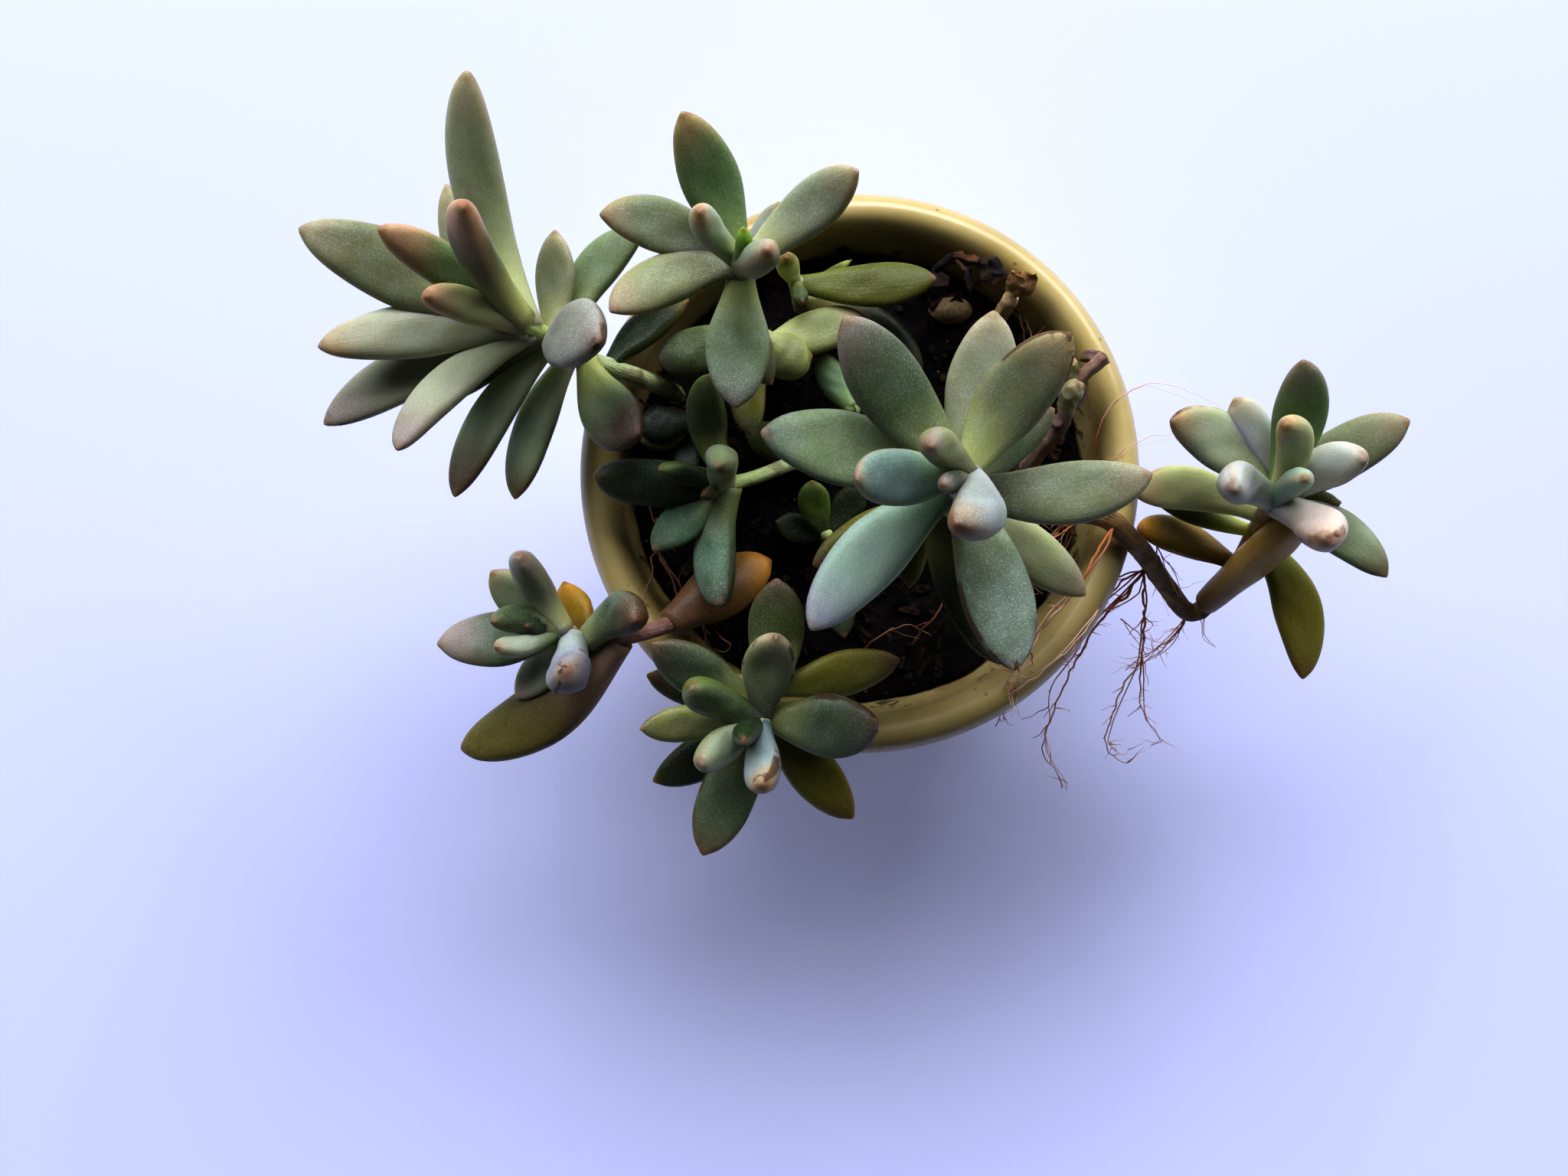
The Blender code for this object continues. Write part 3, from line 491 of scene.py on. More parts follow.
BACK_SHOOT = Shoot(
    name="shoot_back",
    slot="grey_green_leaf",
    path=((-18, 22, 80), (-19, 24, 92), (-21, 29, 112), (-22, 33, 130)),
    root_radius=2.2,
    tip_radius=1.6,
    bark=Skin.GREEN_STEM,
    leaves=(
        Leaf(SPOON, 4, (-31, 54.5, 138), 9.9, 2.0, -0.6, skin=Skin.SAGE, wax=0.3),
        Leaf(SPOON, 6, (-45.5, 41, 128), 9.7, 2.0, -3.2, skin=Skin.FRESH, wax=0.5, blush=0.3),
        Leaf(SPOON, 3, (-44, 25, 127), 9.4, 2.5, -3.1, skin=Skin.KHAKI, wax=0.7),
        Leaf(
            CLUB, 1, (-27.5, 35.5, 149), 5.7, 1.4, -0.8,
            skin=Skin.STONE, end=End.ROSE, wax=0.4, blush=0.25,
        ),
        Leaf(BUD, 0, (-21, 34, 145), 3.4, 0.6, -1.0, skin=Skin.LIME, end=End.LIME, wax=0.1, blush=0.2),
        Leaf(
            BUD, 0, (-17.2, 29.2, 151), 6.4, 0.6, 0.0,
            skin=Skin.BLOOM, end=End.ROSE, wax=0.6, blush=0.22,
        ),
        Leaf(SPOON, 3, (-3, 44.5, 140), 8.9, 2.5, 1.2, skin=Skin.BLOOM, wax=0.7),
        Leaf(SPOON, 9, (-15.5, 44, 124), 6.5, 1.5, -0.2, skin=Skin.MAUVE, end=End.SAND, wax=0.4),
        Leaf(
            SPOON, 4, (-23, 9.5, 122), 11.1, 2.5, -0.3,
            skin=Skin.SMOKE, end=End.BROWN, wax=1.0, blush=0.3,
        ),
        Leaf(SPOON, 12, (-27, 17, 112), 7.4, 1.5, 1.5, skin=Skin.STRAW, end=End.BROWN, wax=0.2),
        Leaf(SPOON, 13, (-17, 15, 112), 7.4, 1.5, -1.5, skin=Skin.STRAW, end=End.BROWN, wax=0.2),
        Leaf(CLUB, 34, (-39, 22.5, 93.5), 10.6, 1.0, -0.4, skin=Skin.SHADE, end=End.DARK, wax=0.3),
        Leaf(
            CLUB, 32, (-9.5, 22.5, 97), 9.5, 1.0, -1.3,
            skin=Skin.CITRON, end=End.LIME, wax=0.2, blush=0.2,
        ),
        Leaf(SPOON, 30, (-20.5, 7, 101), 7.4, 1.5, -1.6, skin=Skin.OLIVE, end=End.DARK, wax=0.3),
        Leaf(SPOON, 37, (1, 31.5, 91), 9.2, 0.5, 0.0, skin=Skin.CITRON, wax=0.2),
    ),
)

UPPER_LEFT_SHOOT = Shoot(
    name="shoot_upper_left",
    slot="grey_green_leaf",
    path=(
        (-37, 17.5, 80),
        (-38.2, 17.8, 86),
        (-43, 18.8, 94),
        (-49.2, 20.4, 98.5),
        (-55.5, 22.7, 104),
        (-62, 25.5, 113),
    ),
    root_radius=1.9,
    tip_radius=1.6,
    bark=Skin.PALE_STEM,
    leaves=(
        Leaf(
            SPEAR, 2, (-67.5, 63.5, 132), 10.2, 2.5, 4.9,
            skin=Skin.PALE, end=End.PALE, wax=0.5, blush=0.3,
        ),
        Leaf(SPOON, 4, (-76.5, 51.5, 110), 7.8, 1.5, 4.5, skin=Skin.BLOOM, end=End.PALE, wax=0.4),
        Leaf(
            SPOON, 2, (-100, 41, 119), 13.0, 2.0, -0.6,
            skin=Skin.STRAW, end=End.PALE, wax=0.4, blush=0.25,
        ),
        Leaf(
            SPEAR, 1, (-82, 37.5, 132), 7.9, 2.0, -0.9,
            skin=Skin.SAGE, end=End.ROSE, wax=0.3, blush=0.4,
        ),
        Leaf(
            CLUB, 0, (-65, 37.5, 145), 8.0, -1.0, 4.0,
            skin=Skin.STRAW, end=End.ROSE, wax=0.3, blush=0.4,
        ),
        Leaf(BUD, 0, (-74.5, 26.5, 131), 6.5, 1.5, -1.7, skin=Skin.TAN, end=End.ROSE, wax=0.3, blush=0.4),
        Leaf(SPEAR, 2, (-98, 21, 115), 10.0, 1.5, -2.1, skin=Skin.CREAM, wax=0.5, blush=0.3),
        Leaf(
            SPOON, 4, (-100.5, 8.5, 105), 10.8, 1.5, -4.0,
            skin=Skin.CREAM, end=End.MAUVE, wax=0.4, scars=0.3, blush=0.35,
        ),
        Leaf(SPEAR, 3, (-82, 2, 122), 8.1, 2.5, -5.2, skin=Skin.CREAM, end=End.MAUVE, wax=0.4, blush=0.4),
        Leaf(SPEAR, 6, (-79.5, 13.5, 101), 5.9, 1.0, -1.6, skin=Skin.STRAW, end=End.BROWN, wax=0.1),
        Leaf(SPOON, 8, (-76, -5, 106), 9.1, 1.5, -3.7, skin=Skin.ICE, end=End.BROWN, wax=0.2, blush=0.4),
        Leaf(SPOON, 13, (-66, -5, 100), 9.1, 1.0, -2.8, skin=Skin.ICE, end=End.UMBER, wax=0.2),
        Leaf(
            SPOON, 16, (-41.2, 5.8, 112), 11.8, 2.0, -3.0,
            skin=Skin.SMOKE, end=End.BROWN, wax=0.4, blush=0.5,
        ),
        Leaf(
            SPOON, 8, (-45.2, 18.8, 133), 13.0, -2.0, 0.5,
            skin=Skin.PLUM, end=End.MAUVE, wax=0.9, scars=0.4, blush=0.25,
        ),
        Leaf(SPOON, 8, (-57, 43.5, 108), 8.1, 1.5, 0.7, skin=Skin.BLOOM, end=End.PALE, wax=0.3),
        Leaf(
            SPOON, 11, (-41, 44, 107), 9.1, 1.5, 5.1,
            skin=Skin.SMOKE, end=End.OLIVE, wax=0.5, blush=0.2,
        ),
        Leaf(SPOON, 21, (-33.5, 33.5, 96), 7.8, 1.0, 2.2, skin=Skin.TEAL, end=End.OLIVE, wax=0.0),
    ),
)

RIGHT_SHOOT = Shoot(
    name="shoot_right",
    slot="grey_green_leaf",
    path=(
        (37, -7, 80),
        (38.6, -7, 87),
        (43.5, -7.5, 93.5),
        (49, -9, 95),
        (54, -13, 92),
        (58.5, -16, 86),
        (65, -22, 78),
        (71, -27.5, 73),
        (75, -25.5, 74.5),
        (78.5, -18.5, 80),
        (80, -10.5, 89),
        (78.5, -7, 99),
        (77.2, -6, 107),
    ),
    root_radius=2.2,
    tip_radius=1.7,
    bark=Skin.OLIVE_STEM,
    leaves=(
        Leaf(SPOON, 3, (76, 17, 122), 9.6, 2.0, -2.1, skin=Skin.SAGE, end=End.MAUVE, wax=0.3),
        Leaf(SPOON, 5, (68, 12, 111), 9.2, 1.0, -1.0, skin=Skin.MAUVE, end=End.PALE, wax=0.3),
        Leaf(SPOON, 4, (55, 7.5, 116), 10.2, 2.0, -3.3, skin=Skin.STONE, wax=0.4, scars=0.4),
        Leaf(CLUB, 2, (64.4, -5, 121), 8.0, 2.0, -2.2, skin=Skin.SNOW, wax=0.8, blush=0.12),
        Leaf(CLUB, 1, (71, 5.5, 127), 6.8, 1.5, -3.5, skin=Skin.TAN, end=End.ROSE, wax=0.4, blush=0.2),
        Leaf(BUD, 0, (76, -3.5, 123), 5.3, 1.0, -0.4, skin=Skin.RIME, end=End.ROSE, wax=0.2, blush=0.15),
        Leaf(CLUB, 2, (87.5, 0.3, 120), 8.0, 2.0, 1.6, skin=Skin.SNOW, wax=0.6, blush=0.15),
        Leaf(SPOON, 5, (99, 8, 112), 10.2, 1.5, 1.1, skin=Skin.FRESH, end=End.SAND, wax=0.3),
        Leaf(
            CLUB, 2, (79, -13.6, 123), 8.6, 2.0, 3.0,
            skin=Skin.SHELL, end=End.ROSE, wax=0.5, scars=0.3, blush=0.2,
        ),
        Leaf(SPOON, 7, (100, -20, 101), 8.5, 1.5, 3.1, skin=Skin.ICE, end=End.BROWN, wax=0.1),
        Leaf(SPOON, 22, (91, -40.5, 84), 10.2, 1.0, 4.8, skin=Skin.OLIVE, end=End.UMBER, wax=0.1),
        Leaf(SPOON, 9, (92, -6, 99), 7.0, 1.0, 0.0, skin=Skin.SHADE, end=End.UMBER, wax=0.0),
        Leaf(SPEAR, 41, (84.6, -8, 104), 11.0, -0.5, 0.5, skin=Skin.TOAST, wax=0.1),
        Leaf(SPOON, 14, (51.7, -4.7, 104), 9.0, 1.0, -3.4, skin=Skin.TAN, wax=0.2),
        Leaf(SPOON, 20, (54.8, 0.6, 92), 6.4, 0.5, 1.5, skin=Skin.SHADE, end=End.BROWN, wax=0.0),
        Leaf(SPOON, 30, (56, -10.5, 90), 8.2, 0.5, -2.0, skin=Skin.AMBER, end=End.GOLD, wax=0.1),
    ),
)

LOWER_LEFT_SHOOT = Shoot(
    name="shoot_lower_left",
    slot="grey_green_leaf",
    path=(
        (-29, -25, 80),
        (-30.5, -26, 86),
        (-36, -29, 93.5),
        (-43, -31.4, 97),
        (-51, -32.8, 98.5),
        (-57.5, -30.5, 102),
    ),
    root_radius=1.7,
    tip_radius=1.5,
    bark=Skin.BROWN_STEM,
    leaves=(
        Leaf(SPOON, 3, (-69.5, -19.5, 104), 9.4, 1.5, 0.8, skin=Skin.ICE, end=End.SAND, wax=0.1),
        Leaf(CLUB, 1, (-62, -17, 116), 7.2, 1.5, 3.0, skin=Skin.BLOOM, end=End.MAUVE, wax=0.6),
        Leaf(
            SPOON, 2, (-80, -33, 102), 10.8, 1.5, -0.5,
            skin=Skin.GREY, end=End.MAUVE, wax=0.3, blush=0.45,
        ),
        Leaf(
            BUD, 1, (-67.5, -28.5, 112), 5.6, 1.2, -1.6,
            skin=Skin.DEEP, end=End.SAND, wax=0.2, blush=0.15,
        ),
        Leaf(BUD, 0, (-62.5, -29.5, 108), 3.9, 0.6, -0.9, skin=Skin.MOSS, end=End.DARK, wax=0.1),
        Leaf(CLUB, 0, (-67, -33, 112), 5.1, 1.4, -0.3, skin=Skin.MIST, end=End.SAND, wax=0.5, blush=0.25),
        Leaf(
            CLUB, 3, (-54, -37, 116), 9.0, 2.0, -2.4,
            skin=Skin.SLATE, end=End.MAUVE, wax=0.9, scars=0.8,
        ),
        Leaf(
            CLUB, 6, (-41.5, -28.2, 113), 8.7, 1.6, 3.0,
            skin=Skin.DEEP, end=End.BROWN, wax=0.4, blush=0.4,
        ),
        Leaf(SPOON, 7, (-58, -21.5, 92), 8.8, 1.0, 1.6, skin=Skin.AMBER, end=End.GOLD, wax=0.0),
        Leaf(SPOON, 5, (-67, -44, 93), 9.0, 1.0, -1.9, skin=Skin.STONE, end=End.PALE, wax=0.1),
        Leaf(
            SPEAR, 12, (-79, -54.5, 88), 13.2, 2.0, 2.9,
            skin=Skin.RUST, end=End.OLIVE, wax=0.1, scars=0.5, blush=0.6,
        ),
        Leaf(
            SPEAR, 23, (-17.5, -17, 88), 11.6, 1.0, 0.6,
            skin=Skin.PEACH, end=End.GOLD, wax=0.0, blush=0.35,
        ),
    ),
)

FRONT_SHOOT = Shoot(
    name="shoot_front",
    slot="grey_green_leaf",
    path=((-14, -29, 80), (-14.5, -32, 88), (-16.5, -40, 100), (-19.3, -48, 111)),
    root_radius=2.0,
    tip_radius=1.7,
    bark=Skin.GREEN_STEM,
    leaves=(
        Leaf(SPOON, 2, (-16, -31, 122), 9.5, 2.0, 0.5, skin=Skin.FRESH, end=End.PALE, wax=0.5, scars=1.0),
        Leaf(SPOON, 4, (-38, -32.5, 114), 10.0, 1.5, 0.9, skin=Skin.GREY, end=End.BROWN, wax=0.3),
        Leaf(CLUB, 2, (-30.5, -39.5, 125), 7.4, 1.5, 1.6, skin=Skin.FERN, end=End.GREEN, wax=0.6),
        Leaf(
            SPOON, 4, (-40.5, -48, 112), 7.4, 1.5, 0.7,
            skin=Skin.KHAKI, end=End.BROWN, wax=0.3, blush=0.2,
        ),
        Leaf(CLUB, 1, (-29, -53, 123), 6.8, 1.5, 0.5, skin=Skin.ICE, end=End.SAND, wax=0.5, blush=0.2),
        Leaf(BUD, 0, (-21.5, -49, 124), 4.8, 0.4, 0.8, skin=Skin.MOSS, end=End.MAUVE, wax=0.3, blush=0.1),
        Leaf(CLUB, 1, (-18.5, -56, 125), 7.3, 1.8, -1.0, skin=Skin.FROST, wax=0.6, scars=0.6),
        Leaf(
            SPOON, 4, (2, -46.5, 114), 12.7, 1.5, -2.3,
            skin=Skin.GREY, end=End.BROWN, wax=0.5, scars=0.7,
        ),
        Leaf(SPOON, 8, (-1.5, -66.5, 98), 10.2, 1.5, -1.8, skin=Skin.OLIVE, end=End.UMBER, wax=0.1),
        Leaf(
            SPOON, 5, (-29.5, -71.5, 108), 10.9, 1.5, -0.1,
            skin=Skin.GREY, end=End.BROWN, wax=0.2, scars=0.7,
        ),
        Leaf(SPOON, 9, (-39.5, -59.5, 98), 9.0, 1.0, 2.2, skin=Skin.TEAL, end=End.DARK, wax=0.1),
        Leaf(SPOON, 11, (7, -36, 101), 8.9, 1.5, -0.8, skin=Skin.OLIVE, end=End.UMBER, wax=0.2),
        Leaf(SPOON, 8, (-16, -21, 106), 11.0, 1.5, -0.5, skin=Skin.SHADE, end=End.BROWN, wax=0.2),
        Leaf(SPOON, 13, (-41, -39.5, 95), 8.4, 1.0, 2.4, skin=Skin.DUSK, end=End.BROWN, wax=0.0),
    ),
)

SMALL_LEFT_SHOOT = Shoot(
    name="shoot_small_left",
    slot="deep_green_leaf",
    path=((-8, 4, 80), (-9, 4, 85.5), (-14, 2, 91), (-21, -1, 95), (-28, -3, 98)),
    root_radius=1.5,
    tip_radius=1.3,
    bark=Skin.PALE_STEM,
    leaves=(
        Leaf(SPOON, 3, (-28.5, 17.5, 104), 8.8, 1.5, 3.9, skin=Skin.SHADE, end=End.GREEN, wax=0.2),
        Leaf(CLUB, 4, (-50.5, -1, 101), 9.4, 1.5, 1.1, skin=Skin.MOSS, end=End.DARK, wax=0.2),
        Leaf(BUD, 1, (-37.5, -0.5, 108), 4.5, 1.2, 0.5, skin=Skin.MOSS, end=End.GREEN, wax=0.2),
        Leaf(BUD, 0, (-30, -5, 104), 2.9, 0.4, 0.0, skin=Skin.GREY, end=End.BROWN, wax=0.1, blush=0.4),
        Leaf(BUD, 1, (-26.5, -0.5, 114), 6.9, 1.2, 2.2, skin=Skin.ICE, end=End.GREEN, wax=0.6, blush=0.2),
        Leaf(SPOON, 2, (-39.5, -15, 99), 8.4, 1.5, -1.1, skin=Skin.POND, end=End.DARK, wax=0.3),
        Leaf(
            CLUB, 3, (-26.5, -25.5, 102), 8.8, 1.5, -3.7,
            skin=Skin.POND, end=End.DARK, wax=0.5, scars=0.4,
        ),
        Leaf(SPOON, 24, (-22, 9, 88), 7.6, 1.0, 0.0, skin=Skin.SHADE, end=End.GREEN, wax=0.0),
    ),
)

SHADE_SPROUT = Shoot(
    name="sprout_left",
    slot="deep_green_leaf",
    path=((-33.5, 10.5, 79), (-33.5, 11, 83), (-33.5, 11.5, 87)),
    root_radius=1.3,
    tip_radius=1.1,
    bark=Skin.PALE_STEM,
    leaves=(
        Leaf(CLUB, 1, (-43.5, 11, 88.5), 7.6, 0.5, 0.5, skin=Skin.TEAL, end=End.DARK, wax=0.4),
        Leaf(SPOON, 3, (-43, 7, 88), 6.4, 1.0, 0.0, skin=Skin.SHADE, end=End.DARK, wax=0.1),
        Leaf(SPOON, 3, (-26, 3, 88), 5.8, 1.0, 0.0, skin=Skin.TEAL, end=End.BROWN, wax=0.1),
        Leaf(SPOON, 4, (-35, -1, 86), 5.8, 1.0, 0.0, skin=Skin.TEAL, end=End.BROWN, wax=0.1),
    ),
)

MIDDLE_SPROUT = Shoot(
    name="sprout_middle",
    slot="deep_green_leaf",
    path=((-6, -12, 79), (-6, -12, 83), (-6, -11.5, 87)),
    root_radius=1.3,
    tip_radius=1.1,
    bark=Skin.PALE_STEM,
    leaves=(
        Leaf(SPOON, 1, (-9, -1.5, 92), 6.7, 1.0, 0.7, skin=Skin.FERN, end=End.GREEN, wax=0.1),
        Leaf(SPOON, 1.5, (1, -2, 88), 6.4, 1.0, 0.0, skin=Skin.TEAL, end=End.DARK, wax=0.1),
        Leaf(SPOON, 3, (-16, -9, 86), 6.0, 1.0, 0.0, skin=Skin.TEAL, end=End.DARK, wax=0.1),
        Leaf(SPOON, 3, (-2.5, -32, 88), 7.4, 1.0, 0.0, skin=Skin.TEAL, end=End.DARK, wax=0.1),
    ),
)

BRIGHT_SPROUT = Shoot(
    name="sprout_bright",
    slot="bright_leaf",
    path=((1, 13, 79), (0.5, 13.4, 83), (-1, 14, 86)),
    root_radius=1.1,
    tip_radius=1.0,
    bark=Skin.STRAW_STEM,
    leaves=(
        Leaf(CLUB, 0, (-6.5, 24, 90), 5.8, 1.0, 1.1, skin=Skin.BRIGHT, end=End.GREEN, wax=0.2),
        Leaf(BUD, 0, (-2, 13, 91), 2.6, 0.3, 0.0, skin=Skin.MOSS, end=End.GREEN, wax=0.1),
        Leaf(SPOON, 2, (7, 19, 87), 5.4, 1.0, 0.0, skin=Skin.MOSS, end=End.BROWN, wax=0.1),
    ),
)

LOW_BACK_SHOOT = Shoot(
    name="shoot_low_back",
    slot="olive_leaf",
    path=((-11, 36, 80), (-11.4, 36.4, 85), (-12.3, 37.8, 93)),
    root_radius=1.7,
    tip_radius=1.4,
    bark=Skin.PALE_STEM,
    leaves=(
        Leaf(
            SPOON, 1, (14.5, 37.5, 97), 9.1, 1.5, -0.3,
            skin=Skin.FIELD, end=End.BROWN, wax=0.1, blush=0.15,
        ),
        Leaf(SPOON, 10, (13, 21, 84), 9.0, 0.0, 3.0, skin=Skin.DUSK, end=End.DARK, wax=0.0),
        Leaf(CLUB, 1, (-14.2, 40.5, 101), 4.6, 0.8, 0.0, skin=Skin.TAN, end=End.OLIVE, wax=0.1),
        Leaf(BUD, 0, (-11, 33, 97.5), 3.0, 0.4, 0.0, skin=Skin.GREY, end=End.DARK, wax=0.1),
        Leaf(SPEAR, 5, (-1.3, 43.2, 88), 2.2, 0.5, 0.0, skin=Skin.FIELD, end=End.LIME, wax=0.0),
    ),
)

FLOWER_STALK = Shoot(
    name="dried_flower_stalk",
    slot="dry_stalk",
    path=(
        (35.5, 2.5, 80),
        (37.5, 5.7, 85),
        (39.5, 8.1, 90),
        (40.6, 11.8, 94),
        (42.1, 16, 96),
        (43.5, 19, 97.5),
        (47.1, 22.1, 98.5),
    ),
    root_radius=1.7,
    tip_radius=1.25,
    bark=Skin.DRY_MAUVE,
    withered=1.0,
    leaves=(
        Leaf(BUD, 0, (42.9, 21.8, 97), 2.7, 0.0, -0.8, skin=Skin.DRY_MAUVE, wax=0.2),
        Leaf(CLUB, 8, (40.4, 21.5, 100), 3.9, 0.6, 0.0, skin=Skin.STRAW, wax=0.1),
        Leaf(BUD, 13, (41.6, 16.3, 101), 4.8, 0.6, 0.0, skin=Skin.BLOOM, end=End.SAND, wax=0.1),
        Leaf(SPEAR, 13, (44.8, 17.6, 93.5), 3.0, 0.5, 0.0, skin=Skin.DRY_MAUVE, wax=0.2),
        Leaf(SPEAR, 15, (36.4, 10.7, 97), 3.2, 0.5, 0.0, skin=Skin.DRY_MAUVE, wax=0.2),
    ),
)

DRIED_LEAF = Shoot(
    name="dried_leaf",
    slot="dry_leaf",
    path=((13.5, 39.5, 79), (14.2, 40, 83), (16.5, 42, 88), (19.5, 43, 92), (23.5, 42, 92)),
    root_radius=0.9,
    tip_radius=0.8,
    bark=Skin.DRY_BROWN,
    withered=2.0,
    leaves=(
        Leaf(HUSK, 0, (27.5, 37.5, 90.5), 5.2, -1.0, 1.0, 30, skin=Skin.DRY_BROWN, end=End.CHAR, wax=0.2),
        Leaf(HUSK, 4, (22.5, 37, 88.5), 5.5, -1.0, 0.0, -30, skin=Skin.DRY_BROWN, end=End.CHAR, wax=0.1),
        Leaf(HUSK, 10, (17, 37.5, 89.5), 4.5, 0.5, 0.0, 40, skin=Skin.DRY_BROWN, end=End.CHAR, wax=0.0),
    ),
)

DRIED_STUB = Shoot(
    name="dried_stub",
    slot="dry_stub",
    path=((28, 28.5, 79.5), (28.8, 32, 85), (30.5, 35.2, 91)),
    root_radius=1.1,
    tip_radius=1.5,
    bark=Skin.DRY_STRAW,
    withered=1.6,
    leaves=(
        Leaf(HUSK, 0, (34, 38.4, 97), 5.0, -0.5, 0.0, 30, skin=Skin.DRY_STRAW, end=End.CORK, wax=0.0),
        Leaf(HUSK, 1, (31, 38.8, 97), 4.2, 0.5, 0.0, -50, skin=Skin.DRY_STRAW, end=End.CORK, wax=0.0),
    ),
)

SHOOTS = (
    CENTRE_SHOOT,
    BACK_SHOOT,
    UPPER_LEFT_SHOOT,
    RIGHT_SHOOT,
    LOWER_LEFT_SHOOT,
    FRONT_SHOOT,
    SMALL_LEFT_SHOOT,
    SHADE_SPROUT,
    MIDDLE_SPROUT,
    BRIGHT_SPROUT,
    LOW_BACK_SHOOT,
    FLOWER_STALK,
    DRIED_LEAF,
    DRIED_STUB,
)


@dataclass(frozen=True)
class LeafFinish:
    """Plump waxy skin: its colours come from the leaf, and wax, grain with painted glints and scars lie over
    them.

    The scales are in waves or cells to a metre, and the covers are shares of a tint
    where it is strongest. glow is the share of light that passes through the skin, and
    glow_reach how deep it goes, in metres.
    """

    wax_tint: str = "B4BFB4"
    grain_and_glint_tint: str = "D8DED2"
    mark_tint: str = "4E3520"
    point_tint: str = "7A4C32"
    sheen_tint: str = "D4DCD0"
    pore_shade: float = 0.88
    wax_cover: float = 0.34
    rim_cover: float = 0.22
    grain_and_glint_cover: float = 0.42
    mark_cover: float = 0.85
    drift_scale: float = 110.0
    crack_scale: float = 130.0
    patch_scale: float = 190.0
    blotch_scale: float = 420.0
    fine_scale: float = 700.0
    grain_scale: float = 1900.0
    pore_scale: float = 2600.0
    grain_and_glint_scale: float = 4300.0
    glow: float = 0.48
    glow_reach: float = 0.0060

    def material(self) -> bpy.types.Material:
        """Mixes the skin.

        Returns:
            The leaf material, which reads the colours stored on each leaf.
        """
        recipe = Recipe("leaf_skin")
        place = recipe.place()
        on_leaf = recipe.attribute("leaf_place", 1)
        along, across, face = recipe.parts(on_leaf)
        wax, scars, blush = recipe.parts(recipe.attribute("leaf_habit", 1))
        neck = recipe.attribute("leaf_neck")
        body = recipe.attribute("leaf_body")
        tip = recipe.attribute("leaf_tip")

        drift = recipe.noise(place, self.drift_scale) - 0.5
        fine = recipe.noise(place, self.fine_scale, 3.0) - 0.5
        streak = recipe.noise(recipe.stretched(on_leaf, (2.0, 9.0, 4.0)), 1.0, 3.0) - 0.5
        reach = along + drift * 0.16 + fine * 0.06
        rim = abs(across).rise(0.80, 1.0) * along.rise(0.15, 0.55)
        sky = face.rise(-0.45, 0.55)

        hue = recipe.blend(body, neck, reach.fall(0.08, 0.56))
        hue = recipe.blend(hue, tip, (reach + blush + rim * 0.05).rise(1.0, 1.36))
        hue = recipe.blend(hue, tip, rim * self.rim_cover)
        hue = recipe.blend(hue, colour(self.point_tint), (along + fine * 0.03).rise(0.955, 1.0) * 0.6)
        hue = recipe.shade(hue, 1.0 + streak * 0.16 + drift * 0.22 + fine * 0.18)

        patch = recipe.noise(place, self.patch_scale, 3.0).rise(0.30, 0.66) * 0.6 + 0.4
        film = wax * patch * sky
        hue = recipe.blend(hue, colour(self.wax_tint), film * self.wax_cover)
        pores = recipe.specks(place, self.pore_scale, 0.60, 0.50)
        hue = recipe.shade(hue, 1.0 - pores * (1.0 - self.pore_shade))
        # Pale raised grains on the wax; their bright colour is partly a painted glint.
        grains_and_glints = recipe.specks(place, self.grain_and_glint_scale, 0.46, 0.60) * (film * 0.8 + 0.2)
        hue = recipe.blend(hue, colour(self.grain_and_glint_tint), grains_and_glints * self.grain_and_glint_cover)

        blotch = recipe.noise(place, self.blotch_scale, 4.0, 0.4).rise(0.54, 0.64)
        crack = recipe.noise(place, self.crack_scale, 2.0).rise(0.46, 0.56)
        edge = abs(across).rise(0.86, 0.97) * along.rise(0.30, 0.6)
        worn = along.rise(0.90, 0.99) + edge * 0.5
        scar = (blotch * worn + crack * edge) * scars
        hue = recipe.blend(hue, colour(self.mark_tint), (scar * 1.3).rise(0.05, 0.9) * self.mark_cover)

        rough = 0.42 + film * 0.14 + fine * 0.18 + scar * 0.2 - grains_and_glints * 0.15
        grain = recipe.bump(recipe.noise(place, self.grain_scale, 2.0) + grains_and_glints * 0.6, 0.00007, 0.5)
        relief = recipe.bump(drift * 2.0 + streak * 0.5, 0.0003, 0.4, grain)
        return recipe.finish(
            Base_Color=hue,
            Roughness=rough,
            Normal=relief,
            Subsurface_Weight=self.glow,
            Subsurface_Radius=(0.8, 1.0, 0.35),
            Subsurface_Scale=self.glow_reach,
            Sheen_Weight=0.03,
            Sheen_Roughness=0.45,
            Sheen_Tint=colour(self.sheen_tint),
            Specular_IOR_Level=0.24,
        )


